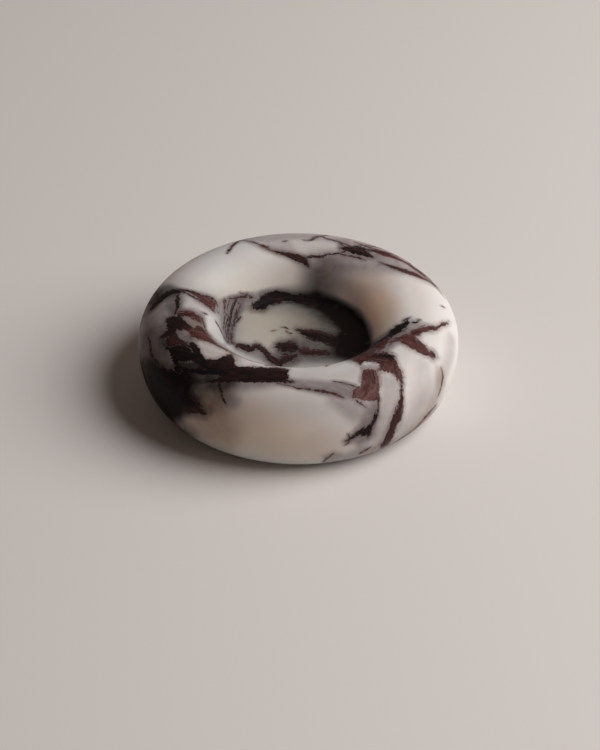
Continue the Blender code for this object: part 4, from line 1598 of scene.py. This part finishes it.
def warped_place(tree, place, size, reach):
    """The place, pushed about by coarse noise, so that patterns on it wander."""
    centred = tree.nodes.new("ShaderNodeVectorMath")
    centred.operation = "MULTIPLY_ADD"
    tree.links.new(noise(tree, place, size, output="Color"), centred.inputs[0])
    centred.inputs[1].default_value = (2.0 * reach,) * 3
    centred.inputs[2].default_value = (-reach,) * 3
    moved = tree.nodes.new("ShaderNodeVectorMath")
    moved.operation = "ADD"
    tree.links.new(place, moved.inputs[0])
    tree.links.new(centred.outputs["Vector"], moved.inputs[1])
    return moved.outputs["Vector"]


def chips(tree, place, size):
    """A grey value for each angular cell of the stone."""
    cells = tree.nodes.new("ShaderNodeTexVoronoi")
    tree.links.new(place, cells.inputs["Vector"])
    cells.inputs["Scale"].default_value = 1.0 / size
    cells.inputs["Randomness"].default_value = 1.0
    split = tree.nodes.new("ShaderNodeSeparateColor")
    tree.links.new(cells.outputs["Color"], split.inputs["Color"])
    return split.outputs["Red"]


def fine_lines(tree, value, band, share=1.0):
    """Thin lines where noise crosses its middle."""
    crossing = calc(tree, "ABSOLUTE", calc(tree, "SUBTRACT", value, 0.5))
    return clamp_between(tree, crossing, *band, 0.0, share)


def add_relief(tree, shader, height, strength, depth):
    relief = tree.nodes.new("ShaderNodeBump")
    relief.inputs["Strength"].default_value = strength
    relief.inputs["Distance"].default_value = depth
    tree.links.new(height, relief.inputs["Height"])
    tree.links.new(relief.outputs["Normal"], shader.inputs["Normal"])


def stained_ground(tree, wandering, uneven):
    """The pale stone with its clouds, its painted light and painted warm light, and all of its stains but
    the smoky haze and painted shade.
    """
    clouds = clamp_between(tree, noise(tree, wandering, **CLOUD_NOISE), *CLOUD_BAND)
    colour = blend(tree, clouds, CLEAR_STONE, CLOUDED_STONE)
    # Painted light and painted warm light
    for kind, stain_colour in ((PAINTED_LIGHT, PAINTED_LIGHT_STONE), (PAINTED_WARM_LIGHT, PAINTED_WARM_LIGHT_STONE)):
        colour = blend(tree, attribute(tree, f"{kind}_stain"), colour, stain_colour)
    # Lilac haze, and earthy and rusty browns that also paint warm shade
    for kind, stain_colour in ((LILAC, LILAC_STONE), (RUST_AND_WARM_SHADE, RUST_AND_WARM_SHADE_STONE), (EARTH_AND_WARM_SHADE, EARTH_AND_WARM_SHADE_STONE)):
        colour = blend(tree, product(tree, attribute(tree, f"{kind}_stain"), uneven), colour, stain_colour)
    return colour


def hidden_patches(tree, colour, wandering, noises):
    """The wine and black patches of the hidden sides over the colour, and where the black ones are."""
    streak_place = in_millimetres(tree, PATCH_STREAK_TURN_DEGREES, PATCH_STREAK_STRETCH)
    streak_place = warped_place(tree, streak_place, **PATCH_STREAK_WARP)
    streaks = noise(tree, streak_place, **PATCH_STREAK_NOISE)
    _, fine, _, cells = noises
    mottle = total(tree, *(product(tree, *pair) for pair in zip((streaks, cells, fine), MOTTLE_SHARES)))
    ragged = swung(tree, noises, RAGGED_WIDTHS)

    wine_colour = blend_tones(tree, mottle, PALE_WINE_STONE, WINE_TONES)
    threads = fine_lines(tree, noise(tree, wandering, **THREAD_NOISE), THREAD_BAND, THREAD_SHARE)
    wine_colour = blend(tree, threads, wine_colour, THREAD_STONE)
    wine_edge = total(tree, attribute(tree, "wine_edge"), ragged)
    colour = blend(tree, clamp_between(tree, wine_edge, WINE_EDGE, -WINE_EDGE), colour, wine_colour)

    dark_edge = total(tree, attribute(tree, "dark_edge"), ragged, swing(tree, streaks, DARK_STREAK_WIDTH))
    dark = clamp_between(tree, dark_edge, DARK_EDGE, -DARK_EDGE)
    dark_colour = blend_tones(tree, mottle, DEEP_WINE_STONE, DARK_TONES)
    return blend(tree, dark, colour, dark_colour), dark


def ribbon_masks(tree, number, ragged, grain):
    """How much one layer's pieces cover and grey the stone round them, their darkness and their hairs."""
    edge, along, across, tone, cover, softness = (
        attribute(tree, f"ribbon_{part}_{number}") for part in RibbonLayer.parts
    )
    edge = total(tree, edge, ragged)
    seed = calc(tree, "MULTIPLY_ADD", tone, STREAK_SEED_OF_TONE, STREAK_SEED_OF_LAYER * number)
    along = product(tree, along, STREAK_ALONG_SCALE)
    across = product(tree, across, STREAK_ACROSS_SCALE)
    flow = warped_place(tree, combine(tree, along, across, seed), **STREAK_WARP)
    streak = noise(tree, flow, **STREAK_NOISE)
    shade = noise(tree, flow, **SHADE_NOISE)
    hair = noise(tree, flow, **HAIR_NOISE)

    covered = product(tree, cover, COVER_GAIN_SHARE)
    fall = clamp_between(tree, calc(tree, "DIVIDE", edge, softness), *COVER_FALL)
    shown = total(tree, streak, covered, swing(tree, grain, COVER_GRAIN_WIDTH), fall)
    mask = clamp_between(tree, shown, *COVER_BAND)
    bleed = clamp_between(tree, calc(tree, "SUBTRACT", edge, softness), *BLEED_FALL)
    darkness = total(tree, tone, swing(tree, shade, SHADE_WIDTH), swing(tree, grain, TONE_GRAIN_WIDTH))
    hairs = product(tree, fine_lines(tree, hair, HAIR_BAND), clamp_between(tree, tone, *HAIR_OF_TONE))
    return mask, bleed, darkness, hairs


def smoke_shade_and_ribbons(tree, colour, uneven, ragged, grain):
    """The smoky haze and painted shade, ribbons and masses over the colour, and how bare of them the stone
    is left.
    """
    ribbons = [ribbon_masks(tree, number, ragged, grain) for number in range(RIBBON_LAYERS)]
    for _, bleed, _, _ in ribbons:
        colour = blend(tree, bleed, colour, BLEED_STONE)
    # Smoky haze and painted shade
    smoke_and_shade_gain = calc(tree, "MULTIPLY_ADD", uneven, *SMOKE_AND_SHADE_UNEVENNESS)
    smoke_and_shade = product(tree, attribute(tree, "smoke_and_shade_stain"), smoke_and_shade_gain)
    smoke_and_shade = calc(tree, "MINIMUM", smoke_and_shade, 1.0)
    colour = blend(tree, smoke_and_shade, colour, SMOKE_AND_SHADE_STONE)
    bare = calc(tree, "SUBTRACT", 1.0, smoke_and_shade)
    for mask, _, darkness, hairs in ribbons:
        ribbon_colour = blend_tones(tree, darkness, PALE_WINE_STONE, RIBBON_TONES)
        ribbon_colour = blend(tree, hairs, ribbon_colour, THREAD_STONE)
        colour = blend(tree, mask, colour, ribbon_colour)
        bare = product(tree, bare, calc(tree, "SUBTRACT", 1.0, mask))
    return colour, bare


def strand_masks(tree, number, wobble, swell):
    """How much one layer's strands cover, the halo round them, and their colour."""
    offset, half_width, tone = (attribute(tree, f"strand_{part}_{number}") for part in StrandLayer.parts)
    off_centre = calc(tree, "ABSOLUTE", calc(tree, "ADD", offset, wobble))
    gap = calc(tree, "SUBTRACT", off_centre, product(tree, half_width, swell))
    mask = clamp_between(tree, gap, *STRAND_FADE)
    halo = clamp_between(tree, gap, *HALO_FADE)
    return mask, halo, blend(tree, tone, WINE_STONE, STRAND_BLACK)


def make_stone_material():
    material, tree, shader = new_material("veined_marble", STONE_FINISH)
    place = in_millimetres(tree)
    wandering = warped_place(tree, place, **WANDER)
    coarse = noise(tree, place, **COARSE_NOISE)
    fine = noise(tree, place, **FINE_NOISE)
    tiny = noise(tree, place, **TINY_NOISE)
    grain = noise(tree, place, **GRAIN_NOISE)
    noises = (coarse, fine, tiny, chips(tree, wandering, CHIP_SIZE))
    uneven = noise(tree, wandering, **UNEVEN_NOISE)
    uneven = calc(tree, "MULTIPLY_ADD", uneven, *STAIN_UNEVENNESS)

    colour = stained_ground(tree, wandering, uneven)
    colour, veined = hidden_patches(tree, colour, wandering, noises)
    lightly_ragged = swung(tree, noises, LIGHTLY_RAGGED_WIDTHS)
    colour, bare = smoke_shade_and_ribbons(tree, colour, uneven, lightly_ragged, grain)
    wobble = swung(tree, noises, WOBBLE_WIDTHS)
    swell = calc(tree, "MULTIPLY_ADD", noise(tree, place, **SWELL_NOISE), *SWELL)
    broken = clamp_between(tree, noise(tree, place, **BREAK_NOISE), *BREAK_BAND)
    for number in range(STRAND_LAYERS):
        mask, halo, strand_colour = strand_masks(tree, number, wobble, swell)
        colour = blend(tree, product(tree, halo, bare), colour, BLEED_STONE)
        colour = blend(tree, product(tree, mask, broken), colour, strand_colour)
        veined = calc(tree, "MAXIMUM", veined, mask)
    tree.links.new(colour, shader.inputs["Base Color"])

    polish = calc(tree, "MULTIPLY_ADD", veined, *POLISH_OF_VEINS)
    tree.links.new(total(tree, swing(tree, fine, POLISH_WIDTH), polish), shader.inputs["Roughness"])
    height = calc(tree, "SUBTRACT", tiny, product(tree, veined, VEIN_SINK_SHARE))
    add_relief(tree, shader, height, STONE_RELIEF_SHARE, STONE_RELIEF_DEPTH)
    return material


def make_felt_material():
    """Short pressed fibres, in two greys."""
    material, tree, shader = new_material("grey_felt", FELT_FINISH)
    fibres_each_way = []
    for degrees in FIBRE_TURNS_DEGREES:
        fibre_place = in_millimetres(tree, (0.0, 0.0, degrees), FIBRE_STRETCH)
        fibres_each_way.append(noise(tree, fibre_place, **FIBRE_NOISE))
    fibres = calc(tree, "MAXIMUM", *fibres_each_way)
    tufts = noise(tree, in_millimetres(tree), **TUFT_NOISE)
    paleness = clamp_between(tree, total(tree, fibres, swing(tree, tufts, TUFT_WIDTH)), *FELT_BAND)
    tree.links.new(blend(tree, paleness, FELT_GREY, FELT_PALE), shader.inputs["Base Color"])
    add_relief(tree, shader, fibres, FELT_RELIEF_SHARE, FELT_RELIEF_DEPTH)
    return material


def dress_pads():
    felt = make_felt_material()
    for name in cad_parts:
        if name.startswith("felt_pad"):
            for slot in bpy.data.objects[name].material_slots:
                slot.material = felt


def make_floor():
    deselect_all()
    bpy.ops.mesh.primitive_plane_add(size=FLOOR_WIDTH, location=(0.0, 0.0, 0.0))
    floor = bpy.context.active_object
    floor.name = "pale_floor"
    material, _, _ = new_material("pale_floor", FLOOR_FINISH)
    floor.data.materials.append(material)


def aim(thing, target):
    direction = Vector(target) - thing.location
    thing.rotation_euler = direction.to_track_quat("-Z", "Y").to_euler()


def make_key_light():
    data = bpy.data.lights.new("soft_key", "AREA")
    data.shape = "DISK"
    data.size = KEY_WIDTH
    data.energy = KEY_POWER
    data.color = KEY_COLOUR
    key = bpy.data.objects.new("soft_key", data)
    bpy.context.scene.collection.objects.link(key)
    azimuth = math.radians(KEY_AZIMUTH_DEGREES)
    height = math.radians(KEY_HEIGHT_DEGREES)
    flat = KEY_DISTANCE * math.cos(height)
    key.location = (flat * math.cos(azimuth), flat * math.sin(azimuth), KEY_DISTANCE * math.sin(height))
    aim(key, (0.0, 0.0, WIDEST_HEIGHT))


def make_room_light():
    world = bpy.data.worlds.new("dim_room")
    world.use_nodes = True
    background = world.node_tree.nodes["Background"]
    background.inputs["Color"].default_value = ROOM_COLOUR
    background.inputs["Strength"].default_value = ROOM_STRENGTH
    bpy.context.scene.world = world


bpy.context.scene.view_settings.view_transform = "Standard"
camera = make_camera()
stone = make_stone()
lay_veins(camera, stone)
stone.data.materials.append(make_stone_material())
dress_pads()
make_floor()
make_key_light()
make_room_light()
